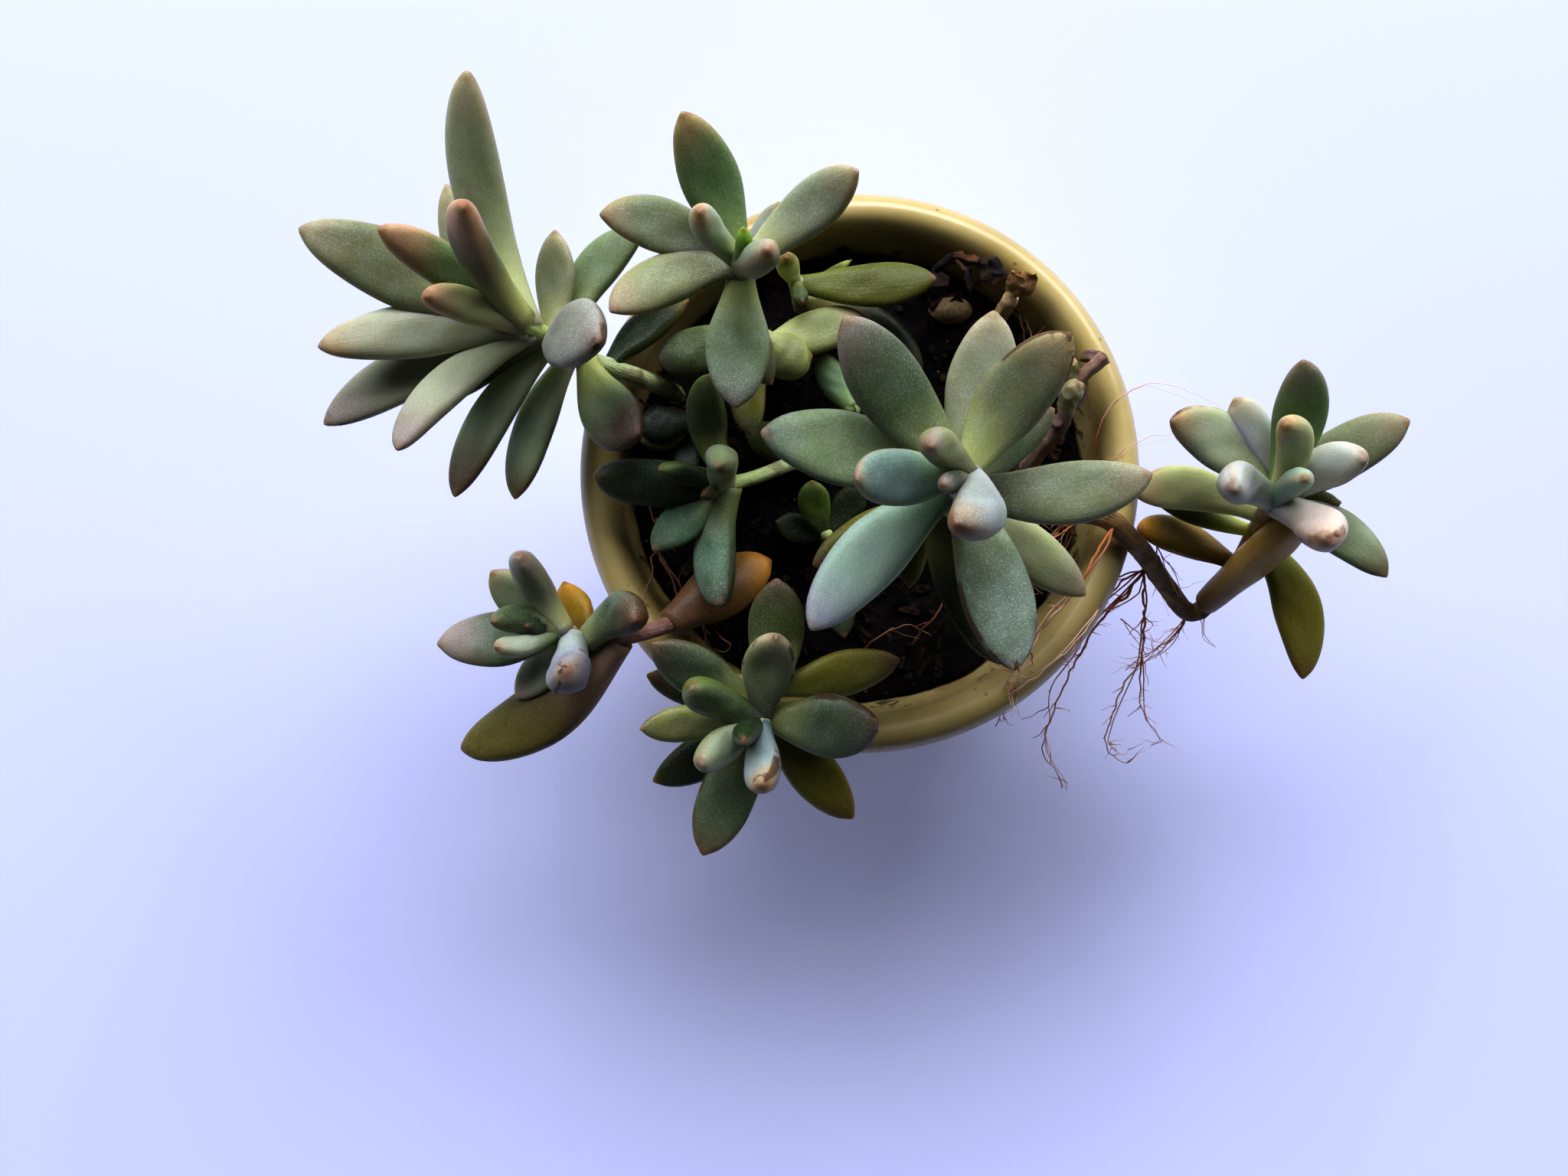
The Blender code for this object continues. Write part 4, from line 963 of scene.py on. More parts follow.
@dataclass(frozen=True)
class StemFinish:
    """Smooth to corky stem skin with long streaks, brown cork and darker leaf scars."""

    cork_tint: str = "6B4A33"
    scar_tint: str = "4B3323"
    patch_scale: float = 260.0
    fine_scale: float = 900.0

    def material(self) -> bpy.types.Material:
        """Mixes the stem's skin.

        Returns:
            The stem material, which reads the colours stored along each stem.
        """
        recipe = Recipe("stem_skin")
        place = recipe.place()
        on_stem = recipe.attribute("leaf_place", 1)
        along = recipe.parts(on_stem)[0]
        cork, ridge, _ = recipe.parts(recipe.attribute("leaf_habit", 1))
        patch = recipe.noise(place, self.patch_scale, 3.0)
        fine = recipe.noise(place, self.fine_scale, 3.0) - 0.5
        streak = recipe.noise(recipe.stretched(on_stem, (26.0, 7.0, 7.0)), 1.0, 3.0) - 0.5
        body = recipe.attribute("leaf_body")
        hue = recipe.blend(body, recipe.attribute("leaf_neck"), along.fall(0.15, 0.55))
        hue = recipe.blend(hue, recipe.attribute("leaf_tip"), (along + streak * 0.2).rise(0.6, 0.95))
        hue = recipe.shade(hue, 1.0 + streak * 0.5 + fine * 0.35)
        corky = patch.rise(0.46, 0.62) * cork
        hue = recipe.blend(hue, colour(self.cork_tint), corky * 0.8)
        hue = recipe.blend(hue, colour(self.scar_tint), ridge.rise(0.25, 0.9) * 0.65)
        height = patch + fine * 0.6 + streak
        return recipe.finish(
            Base_Color=hue,
            Roughness=0.55 + corky * 0.3 + fine * 0.2,
            Normal=recipe.bump(height, 0.0003, 0.8),
            Subsurface_Weight=0.12,
            Subsurface_Radius=(0.8, 0.9, 0.4),
            Subsurface_Scale=0.002,
        )


@dataclass(frozen=True)
class HuskFinish:
    """Dry, wrinkled plant skin with torn dark edges and fibres."""

    name: str = "dry_husk"
    dark_tint: str = "1B1310"
    dark_cover: float = 0.8
    patch_scale: float = 420.0
    fine_scale: float = 1600.0

    def material(self) -> bpy.types.Material:
        """Mixes the dry skin.

        Returns:
            The husk material.
        """
        recipe = Recipe(self.name)
        place = recipe.place()
        on_leaf = recipe.attribute("leaf_place", 1)
        along = recipe.parts(on_leaf)[0]
        patch = recipe.noise(place, self.patch_scale, 4.0, 0.6)
        fine = recipe.noise(place, self.fine_scale, 3.0) - 0.5
        fibre = recipe.noise(recipe.stretched(on_leaf, (4.0, 30.0, 9.0)), 1.0, 4.0) - 0.5
        neck = recipe.attribute("leaf_neck")
        hue = recipe.blend(neck, recipe.attribute("leaf_body"), along.rise(0.1, 0.6))
        hue = recipe.blend(hue, recipe.attribute("leaf_tip"), (along + patch * 0.4).rise(0.9, 1.2))
        hue = recipe.shade(hue, 1.0 + fibre * 0.9 + fine * 0.5)
        hue = recipe.blend(hue, colour(self.dark_tint), patch.fall(0.36, 0.5) * self.dark_cover)
        return recipe.finish(
            Base_Color=hue,
            Roughness=0.78 + fine * 0.2,
            Normal=recipe.bump(patch + fibre * 1.5 + fine * 0.4, 0.0005, 0.9),
        )


@dataclass(frozen=True)
class GlazeFinish:
    """Cream glaze: cloudy, finely specked, stained by the mix and marked by rubbed soil, with painted shade
    over the whole inner wall.
    """

    pale_tint: str = "C2B078"
    deep_tint: str = "A89252"
    stain_and_shade_tint: str = "75602F"
    soil_tint: str = "33271B"
    stain_top: float = 0.089
    stain_low: float = 0.070
    splash_low: float = 0.078
    splash_top: float = 0.0885
    wall_slope: float = 0.160
    wall_middle: float = 0.0360
    wall_blend: float = 0.0012
    cloud_scale: float = 22.0
    splash_scale: float = 260.0
    fine_scale: float = 420.0
    speck_scale: float = 520.0

    def material(self) -> bpy.types.Material:
        """Mixes the glaze.

        Returns:
            The pot's material.
        """
        recipe = Recipe("cream_glaze")
        place = recipe.place()
        x, y, z = recipe.parts(place)
        cloud = recipe.noise(place, self.cloud_scale, 3.0)
        fine = recipe.noise(place, self.fine_scale, 3.0) - 0.5
        run = recipe.noise(recipe.stretched(place, (90.0, 90.0, 14.0)), 1.0, 3.0)
        specks = recipe.specks(place, self.speck_scale, 0.10, 0.30)
        reach = (x * x + y * y) ** 0.5 - z * self.wall_slope
        inside = reach.fall(self.wall_middle, self.wall_middle + self.wall_blend)
        hue = recipe.blend(colour(self.pale_tint), colour(self.deep_tint), cloud.rise(0.32, 0.72))
        hue = recipe.shade(hue, 1.0 + fine * 0.12 + (run - 0.5) * 0.14)
        hue = recipe.blend(hue, colour(self.stain_and_shade_tint), specks * 0.55)
        # Inside the pot: patchy stains below the lip, and a painted shade that darkens the whole inner wall
        # evenly.
        stain_and_shade = run.rise(0.42, 0.62) * inside * z.fall(self.stain_low, self.stain_top) + inside * 0.22
        hue = recipe.blend(hue, colour(self.stain_and_shade_tint), stain_and_shade * 0.75)
        splash = recipe.noise(place, self.splash_scale, 4.0, 0.5).rise(0.58, 0.66)
        splash = splash * inside * z.fall(self.splash_low, self.splash_top)
        hue = recipe.blend(hue, colour(self.soil_tint), splash * 0.85)
        foot = z.fall(0.0, 0.006) * run.rise(0.4, 0.6)
        hue = recipe.blend(hue, colour(self.stain_and_shade_tint), foot * 0.35)
        height = cloud * 2.0 + fine * 0.25 - specks * 0.5
        return recipe.finish(
            Base_Color=hue,
            Roughness=0.36 + stain_and_shade * 0.25 + splash * 0.3 + fine * 0.12,
            Normal=recipe.bump(height, 0.0004, 0.4),
            Coat_Weight=0.25,
            Coat_Roughness=0.22,
        )


@dataclass(frozen=True)
class CrumbFinish:
    """Loose matter of the potting mix: two tones in patches, with grains and a dull surface."""

    name: str
    dark_tint: str
    pale_tint: str
    patch_scale: float = 260.0
    grain_scale: float = 1500.0
    relief: float = 0.0002
    roughness: float = 0.92

    def material(self) -> bpy.types.Material:
        """Mixes the crumbs.

        Returns:
            A dull material with patches and grains.
        """
        recipe = Recipe(self.name)
        place = recipe.place()
        patch = recipe.noise(place, self.patch_scale, 4.0, 0.4)
        grain = recipe.noise(place, self.grain_scale, 3.0)
        pale = (patch * 0.65 + grain * 0.35).rise(0.38, 0.68)
        hue = recipe.blend(colour(self.dark_tint), colour(self.pale_tint), pale)
        hue = recipe.shade(hue, 0.7 + grain * 0.6)
        return recipe.finish(
            Base_Color=hue,
            Roughness=self.roughness - patch * 0.1,
            Normal=recipe.bump(patch + grain * 0.7, self.relief, 0.9),
            Specular_IOR_Level=0.15,
        )


@dataclass(frozen=True)
class RootFinish:
    """Hair roots: rusty where they leave the stem, paler and greyer towards their ends."""

    rust_tint: str = "C07C44"
    pale_tint: str = "F6D0B4"
    end_tint: str = "D8BCB4"
    patch_scale: float = 300.0

    def material(self) -> bpy.types.Material:
        """Mixes the roots' skin.

        Returns:
            The root material, which reads how far along its root a point lies.
        """
        recipe = Recipe("hair_root")
        along = recipe.parts(recipe.attribute("leaf_place", 1))[0]
        patch = recipe.noise(recipe.place(), self.patch_scale, 2.0)
        reach = along + (patch - 0.5) * 0.5
        hue = recipe.blend(colour(self.rust_tint), colour(self.pale_tint), reach.rise(0.15, 0.6))
        hue = recipe.blend(hue, colour(self.end_tint), reach.rise(0.65, 1.0))
        return recipe.finish(
            Base_Color=hue,
            Roughness=0.6 + patch * 0.15,
            Subsurface_Weight=0.1,
            Subsurface_Scale=0.0008,
        )


def deselect() -> None:
    """Leaves nothing selected, in object mode."""
    if bpy.context.mode != "OBJECT":
        bpy.ops.object.mode_set(mode="OBJECT")
    bpy.ops.object.select_all(action="DESELECT")


def pick(*objects: bpy.types.Object) -> None:
    """Selects the given objects alone and makes the first one active."""
    deselect()
    for chosen in objects:
        chosen.select_set(True)
    bpy.context.view_layer.objects.active = objects[0]


def join(name: str, objects: list[bpy.types.Object]) -> bpy.types.Object:
    """Joins objects into the first one and names it.

    Args:
        name: the new name of the object and of its mesh.
        objects: what is joined.

    Returns:
        The joined object.
    """
    pick(*objects)
    if len(objects) > 1:
        bpy.ops.object.join()
    joined = bpy.context.view_layer.objects.active
    joined.name = name
    joined.data.name = name
    return joined


def points_of(mesh: bpy.types.Mesh) -> np.ndarray:
    """The vertices of a mesh as rows of three numbers."""
    flat = np.empty(len(mesh.vertices) * 3, np.float32)
    mesh.vertices.foreach_get("co", flat)
    return flat.reshape(-1, 3).astype(float)


def set_points(mesh: bpy.types.Mesh, points: np.ndarray) -> None:
    """Moves the vertices of a mesh."""
    mesh.vertices.foreach_set("co", points.astype(np.float32).ravel())
    mesh.update()


def store(mesh: bpy.types.Mesh, name: str, values: np.ndarray) -> None:
    """Stores a vector or a colour on each vertex of a mesh.

    Args:
        mesh: the mesh.
        name: the name that a material reads it by.
        values: one row a vertex, of three numbers or a colour's four.
    """
    kind = "FLOAT_COLOR" if values.shape[1] == 4 else "FLOAT_VECTOR"
    field_name = "color" if kind == "FLOAT_COLOR" else "vector"
    attribute = mesh.attributes.new(name, kind, "POINT")
    attribute.data.foreach_set(field_name, values.astype(np.float32).ravel())


def store_skin(mesh: bpy.types.Mesh, skin: Skin, end: str, habit: np.ndarray) -> None:
    """Stores the colours and the habit of a leaf or a stem on its mesh.

    Args:
        mesh: the mesh.
        skin: its colours at the neck and over the body.
        end: its screen colour at the tip.
        habit: three numbers a vertex, which the leaf's or the stem's finish reads.
    """
    count = len(mesh.vertices)
    for part, code in (("neck", skin.value.neck), ("body", skin.value.body), ("tip", end)):
        store(mesh, f"leaf_{part}", np.tile(colour(code), (count, 1)))
    store(mesh, "leaf_habit", habit)


def unit(rows: np.ndarray) -> np.ndarray:
    """Rows of three numbers, each made one long."""
    return rows / np.maximum(np.linalg.norm(rows, axis=-1, keepdims=True), 1e-12)


def stood(place: Point) -> Vector:
    """A place in a plant's table, moved to where the plants stand in the pot."""
    return Vector(place) + Vector(PLANT_PLACE)


def smooth_path(points: tuple[Point, ...] | list[Point], step: float) -> list[Vector]:
    """Lays a smooth curve through points.

    Args:
        points: where the curve passes.
        step: about how far apart its own points are.

    Returns:
        The points on the curve, both ends among them.
    """
    knots = [Vector(point) for point in points]
    knots = [2 * knots[0] - knots[1], *knots, 2 * knots[-1] - knots[-2]]
    made = [knots[1].copy()]
    for a, b, c, d in zip(knots, knots[1:], knots[2:], knots[3:]):
        count = max(1, round((c - b).length / step))
        for number in range(1, count + 1):
            t = number / count
            square = (2 * a - 5 * b + 4 * c - d) * t**2
            cube = (3 * b - a - 3 * c + d) * t**3
            made.append(0.5 * (2 * b + (c - a) * t + square + cube))
    return made


def stem_place(points: list[Vector], at: float) -> tuple[Vector, Vector]:
    """Finds a place on a stem.

    Args:
        points: the stem's path, from its root to its tip.
        at: how far back from the tip the place is.

    Returns:
        The place and the stem's direction there.
    """
    left = at
    for after, before in zip(reversed(points), list(reversed(points))[1:]):
        span = (after - before).length
        if left <= span:
            return after.lerp(before, left / span), (after - before).normalized()
        left -= span
    return points[0].copy(), (points[1] - points[0]).normalized()


def turn(
    name: str, stations: list[tuple[float, float]], sides: int, pointed: bool = False
) -> bpy.types.Object:
    """Turns a closed solid about Z by extruding and scaling a disc.

    Args:
        name: the new object's name.
        stations: radii and heights in millimetres, from the first disc to the last.
        sides: how many sides the circle has.
        pointed: whether the last ring closes to a point.

    Returns:
        The solid, with its place in its mesh.
    """
    deselect()
    radius, height = stations[0]
    place = (0, 0, height * MM)
    bpy.ops.mesh.primitive_circle_add(vertices=sides, radius=radius * MM, fill_type="NGON", location=place)
    solid = bpy.context.active_object
    bpy.ops.object.transform_apply(location=True, rotation=True, scale=True)
    bpy.ops.object.mode_set(mode="EDIT")
    bpy.ops.mesh.select_all(action="SELECT")
    for (radius, height), (wider, higher) in zip(stations, stations[1:]):
        bpy.ops.mesh.extrude_region_move(TRANSFORM_OT_translate={"value": (0, 0, (higher - height) * MM)})
        share = wider / radius
        bpy.ops.transform.resize(value=(share, share, 1), center_override=(0, 0, higher * MM))
    if pointed:
        bpy.ops.mesh.merge(type="CENTER")
    bpy.ops.mesh.select_all(action="SELECT")
    bpy.ops.mesh.normals_make_consistent(inside=False)
    bpy.ops.object.mode_set(mode="OBJECT")
    solid.name = name
    solid.data.name = name
    return solid


@dataclass
class LeafMould:
    """The unit leaf of one kind, modelled once, from which every leaf of the kind is grown.

    ripple, lump and fine_lump are the heights of a skin's waves as shares of the
    leaf's girth and depth, twist the most that a leaf turns along its length, in
    degrees, and crease and creases the depth in millimetres of a withered leaf's
    creases and how many there are to a millimetre.
    """

    kind: Kind
    sides: int = 32
    rings: int = 30
    gather: float = 1.6
    upper_share: float = 0.42
    nub: float = 0.5
    nub_girth: float = 0.16
    closed_girth: float = 1e-4
    ripple: float = 0.030
    lump: float = 0.030
    fine_lump: float = 0.016
    twist: float = 5.0
    crease: float = 0.55
    creases: float = 0.55
    mould: bpy.types.Object = field(init=False)
    along: np.ndarray = field(init=False)
    across: np.ndarray = field(init=False)
    face: np.ndarray = field(init=False)
    girths: np.ndarray = field(init=False)
    depths: np.ndarray = field(init=False)

    def model(self) -> None:
        """Models the unit leaf along +X, with rings that gather towards its tip."""
        form = self.kind.value
        stations = [1 - (1 - ring / self.rings) ** self.gather for ring in range(self.rings)]
        deselect()
        upright = (0, math.pi / 2, 0)
        bpy.ops.mesh.primitive_circle_add(vertices=self.sides, radius=1.0, fill_type="NGON", rotation=upright)
        self.mould = bpy.context.active_object
        self.mould.name = f"{self.kind.name.lower()}_mould"
        bpy.ops.object.transform_apply(location=True, rotation=True, scale=True)
        bpy.ops.object.mode_set(mode="EDIT")
        bpy.ops.mesh.select_all(action="SELECT")
        bpy.ops.transform.resize(value=(1, form.girth(0), form.plumpness(0)), center_override=(0, 0, 0))
        for before, after in zip(stations, stations[1:]):
            bpy.ops.mesh.extrude_region_move(TRANSFORM_OT_translate={"value": (after - before, 0, 0)})
            wide = form.girth(after) / form.girth(before)
            deep = form.plumpness(after) / form.plumpness(before)
            bpy.ops.transform.resize(value=(1, wide, deep), center_override=(after, 0, 0))
        bpy.ops.mesh.extrude_region_move(TRANSFORM_OT_translate={"value": (1 - stations[-1], 0, 0)})
        bpy.ops.mesh.merge(type="CENTER")
        bpy.ops.mesh.select_all(action="SELECT")
        bpy.ops.mesh.normals_make_consistent(inside=False)
        bpy.ops.object.mode_set(mode="OBJECT")
        bpy.ops.object.shade_smooth()
        self._measure(form)

    def _measure(self, form: Form) -> None:
        """Notes where on the leaf each vertex of the mould lies.

        Args:
            form: the shape that the mould was modelled to.
        """
        places = points_of(self.mould.data)
        self.along = np.clip(places[:, 0], 0.0, 1.0)
        self.girths = np.array([form.girth(t) for t in self.along])
        self.depths = np.array([form.plumpness(t) for t in self.along])
        least = self.closed_girth
        closed = self.girths < least
        self.across = np.where(closed, 0.0, places[:, 1] / np.maximum(self.girths, least))
        self.face = np.where(closed, 0.0, places[:, 2] / np.maximum(self.depths, least))

    def grow(
        self, leaf: Leaf, base: Vector, stem_way: Vector, chance: random.Random, withered: float
    ) -> bpy.types.Object:
        """Lays a copy of the mould along a leaf's curve and colours it.

        Args:
            leaf: the leaf's place, size and skin.
            base: where the leaf leaves the stem, in millimetres.
            stem_way: the stem's direction there.
            chance: the seeded source of each leaf's small differences.
            withered: how far the leaf has shrivelled, from 0.

        Returns:
            The leaf, in metres.
        """
        form = self.kind.value
        t = self.along[:, None]
        start, tip, up = np.array(base), np.array(stood(leaf.tip)), np.array(stem_way) + (0, 0, 1)
        chord = unit(tip - start)
        up = unit(up - chord * up.dot(chord))
        left = np.cross(up, chord)
        control = (start + tip) / 2 - up * 2 * leaf.bow + left * 2 * leaf.sway
        centre = start * (1 - t) ** 2 + control * 2 * t * (1 - t) + tip * t**2
        way = unit((control - start) * (1 - t) + (tip - control) * t)
        normal = unit(up - way * (way @ up)[:, None])
        side = np.cross(normal, way)
        phases = [chance.uniform(0, 2 * math.pi) for _ in range(4)]
        twist = math.radians(leaf.roll) + math.radians(self.twist) * np.sin(2.2 * t + phases[0]) * t
        flat = side * np.cos(twist) + normal * np.sin(twist)
        thick = normal * np.cos(twist) - side * np.sin(twist)

        swell = np.sin(math.pi * self.along) ** 0.7
        height = np.where(self.face > 0, self.upper_share, 1 - self.upper_share) * self.face
        middle = 1 - self.across**2
        height -= form.dish * self.upper_share * np.where(self.face > 0, middle**2, 0) * swell
        height -= form.keel * np.where(self.face < 0, (1 - np.abs(self.across)) ** 2, 0) * swell
        ripple = 1 + self.ripple * np.sin(9 * self.along + phases[1]) * swell
        lumps = self.lump * np.sin(7 * self.along + 3 * self.across + phases[2]) * swell
        lumps += self.fine_lump * np.sin(17 * self.along - 5 * self.across + phases[3]) * swell
        half_width = leaf.width / 2 * self.girths * ripple
        half_depth = leaf.width * form.depth * self.depths
        places = centre + flat * (half_width * self.across)[:, None]
        places += thick * (half_depth * (height + lumps * np.abs(self.face)))[:, None]
        nub = self.nub * np.exp(-((self.girths / self.nub_girth) ** 2)) * (self.along > 0.5)
        places += way * nub[:, None]
        if withered:
            creases = [noise.noise_vector(Vector(place) * self.creases) for place in places]
            places += np.array(creases) * self.crease * withered

        mesh = self.mould.data.copy()
        set_points(mesh, places * MM)
        store(mesh, "leaf_place", np.column_stack((self.along, self.across, self.face)))
        habit = np.tile((leaf.wax, leaf.scars, leaf.blush), (len(places), 1))
        store_skin(mesh, leaf.skin, leaf.end.value, habit)
        grown = bpy.data.objects.new("leaf", mesh)
        bpy.context.scene.collection.objects.link(grown)
        return grown


def lay_tube(
    name: str, points: list[Vector], radii: list[float], sides: int
) -> tuple[bpy.types.Object, np.ndarray]:
    """Models a round bar ring by ring and lays it along points, with domed ends.

    Args:
        name: the new object's name.
        points: the middle of each ring, in millimetres.
        radii: the radius of each ring, in millimetres.
        sides: how many sides the bar has.

    Returns:
        The tube in metres, and for each vertex its ring, its angle and how far it
        stands from the middle as a share of the radius.
    """
    deselect()
    bpy.ops.mesh.primitive_cylinder_add(
        vertices=sides, radius=1, depth=1, end_fill_type="TRIFAN", location=(0, 0, 0.5)
    )
    bar = bpy.context.active_object
    bpy.ops.object.transform_apply(location=True, rotation=True, scale=True)
    bpy.ops.object.mode_set(mode="EDIT")
    bpy.ops.mesh.select_all(action="DESELECT")
    shaped = bmesh.from_edit_mesh(bar.data)
    for edge in shaped.edges:
        edge.select = abs(edge.verts[0].co.z - edge.verts[1].co.z) > 0.5
    bmesh.update_edit_mesh(bar.data)
    bpy.ops.mesh.subdivide(number_cuts=len(points) - 2)
    bpy.ops.object.mode_set(mode="OBJECT")
    bpy.ops.object.shade_smooth()
    bar.name = name
    unit_places = points_of(bar.data)
    last = len(points) - 1
    ring = np.clip(np.rint(unit_places[:, 2] * last), 0, last).astype(int)
    angle = np.arctan2(unit_places[:, 1], unit_places[:, 0])
    spread = np.linalg.norm(unit_places[:, :2], axis=1)
    ways, rights, ups = [], [], []
    right = Vector((1, 0, 0))
    for number, point in enumerate(points):
        way = (points[min(last, number + 1)] - points[max(0, number - 1)]).normalized()
        right = (right - way * right.dot(way)).normalized()
        ways.append(way)
        rights.append(right)
        ups.append(way.cross(right))
    size = np.array(radii)[ring] * spread
    places = np.array(points)[ring] + np.array(rights)[ring] * (size * np.cos(angle))[:, None]
    places += np.array(ups)[ring] * (size * np.sin(angle))[:, None]
    dome = np.where(spread < 0.5, np.where(ring == last, 1.0, -1.0), 0.0) * np.array(radii)[ring] * 0.5
    places += np.array(ways)[ring] * dome[:, None]
    set_points(bar.data, places * MM)
    return bar, np.column_stack((ring, angle, spread))


@dataclass
class LeafyStem:
    """A stem from its hole in the mix to its tip, with its leaves grown round it.

    scar_ridge, joint_swell and most_swell are shares of the stem's radius.
    scar_length and joint_length are in millimetres along the stem, and scar_spread is
    in radians round it. joint_scar is the strength of a joint's scar, beside 1 for an
    old leaf's. wrinkle is the depth of a withered stem's wrinkles in millimetres, and
    wrinkles how many there are to a millimetre.
    """

    shoot: Shoot
    moulds: dict[Kind, LeafMould]
    chance: random.Random
    step: float = 0.9
    sides: int = 18
    root_depth: float = 15.0
    scar_step: float = 3.4
    scar_length: float = 0.6
    scar_spread: float = 0.9
    scar_ridge: float = 0.11
    joint_scar: float = 0.6
    joint_length: float = 1.3
    joint_swell: float = 0.06
    most_swell: float = 0.12
    wrinkle: float = 0.35
    wrinkles: float = 0.6
    golden_angle: float = math.radians(137.5)

    def _stem(self, line: list[Vector]) -> bpy.types.Object:
        """Models the stem, thicker at its leaf joints and marked by old leaf scars.

        Args:
            line: the stem's path above the mix, in millimetres.

        Returns:
            The stem, in metres.
        """
        shoot = self.shoot
        buried = [line[0] - Vector((0, 0, self.root_depth * share)) for share in (1.0, 0.66, 0.33)]
        points = [*buried, *line]
        above = len(line) - 1
        slim = shoot.tip_radius - shoot.root_radius
        radii = [shoot.root_radius + slim * max(0, number - 3) / above for number in range(len(points))]
        stem, spots = lay_tube(shoot.name, points, radii, self.sides)
        lengths = np.cumsum([0.0] + [(after - before).length for before, after in zip(points, points[1:])])
        ring, angle = spots[:, 0].astype(int), spots[:, 1]
        reach = lengths[ring]
        joints = [lengths[-1] - leaf.at for leaf in shoot.leaves]
        scars = [(joint, self.chance.uniform(0, 2 * math.pi), self.joint_scar) for joint in joints]
        place = self.root_depth + 2.0
        while place < min(joints) - 1.0:
            scars.append((place, len(scars) * self.golden_angle, 1.0))
            place += self.scar_step * self.chance.uniform(0.8, 1.25)
        ridge = np.zeros(len(ring))
        for joint, side, strength in scars:
            off = np.angle(np.exp(1j * (angle - side)))
            band = np.exp(-(((reach - joint) / self.scar_length) ** 2))
            ridge += strength * band * np.exp(-((off / self.scar_spread) ** 2))
        swell = sum(np.exp(-(((reach - joint) / self.joint_length) ** 2)) for joint in joints)
        crease = 0.03 * np.sin(5 * angle + reach * 0.25) + 0.02 * np.sin(9 * angle - reach * 0.4)
        swell = np.clip(swell * self.joint_swell, 0, self.most_swell) + crease * (1 + 2 * shoot.withered)
        places = points_of(stem.data) / MM
        middles = np.array([tuple(point) for point in points])[ring]
        places += (places - middles) * (swell + self.scar_ridge * np.clip(ridge, 0, 1.2))[:, None]
        if shoot.withered:
            wrinkles = [noise.noise_vector(Vector(spot) * self.wrinkles) for spot in places]
            places += np.array(wrinkles) * self.wrinkle * shoot.withered
        set_points(stem.data, places * MM)
        share = reach / lengths[-1]
        store(stem.data, "leaf_place", np.column_stack((share, np.cos(angle), np.sin(angle))))
        habit = np.column_stack((np.full(len(ring), 1 - 0.6 * share), np.clip(ridge, 0, 1), share))
        store_skin(stem.data, shoot.bark, shoot.bark.value.tip, habit)
        return stem

    def build(self, skins: dict[str, bpy.types.Material]) -> bpy.types.Object:
        """Grows the leaves on the stem and joins them.

        Args:
            skins: the finished materials by name.

        Returns:
            The whole leafy stem, in place of its plain solid.
        """
        shoot = self.shoot
        line = smooth_path([stood(place) for place in shoot.path], self.step)
        stem = self._stem(line)
        husk = skins["husk" if shoot.slot == "dry_leaf" else "cork"]
        stem.data.materials.append(husk if shoot.withered else skins["stem"])
        parts = [stem]
        for leaf in shoot.leaves:
            base, way = stem_place(line, leaf.at)
            grown = self.moulds[leaf.kind].grow(leaf, base, way, self.chance, shoot.withered)
            dry = shoot.withered and leaf.skin in (Skin.DRY_MAUVE, Skin.DRY_BROWN, Skin.DRY_STRAW)
            grown.data.materials.append(husk if dry else skins["leaf"])
            parts.append(grown)
        plant = join(f"{shoot.name}_leafy", parts)
        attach(plant, "root")
        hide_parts(shoot.name)
        return plant


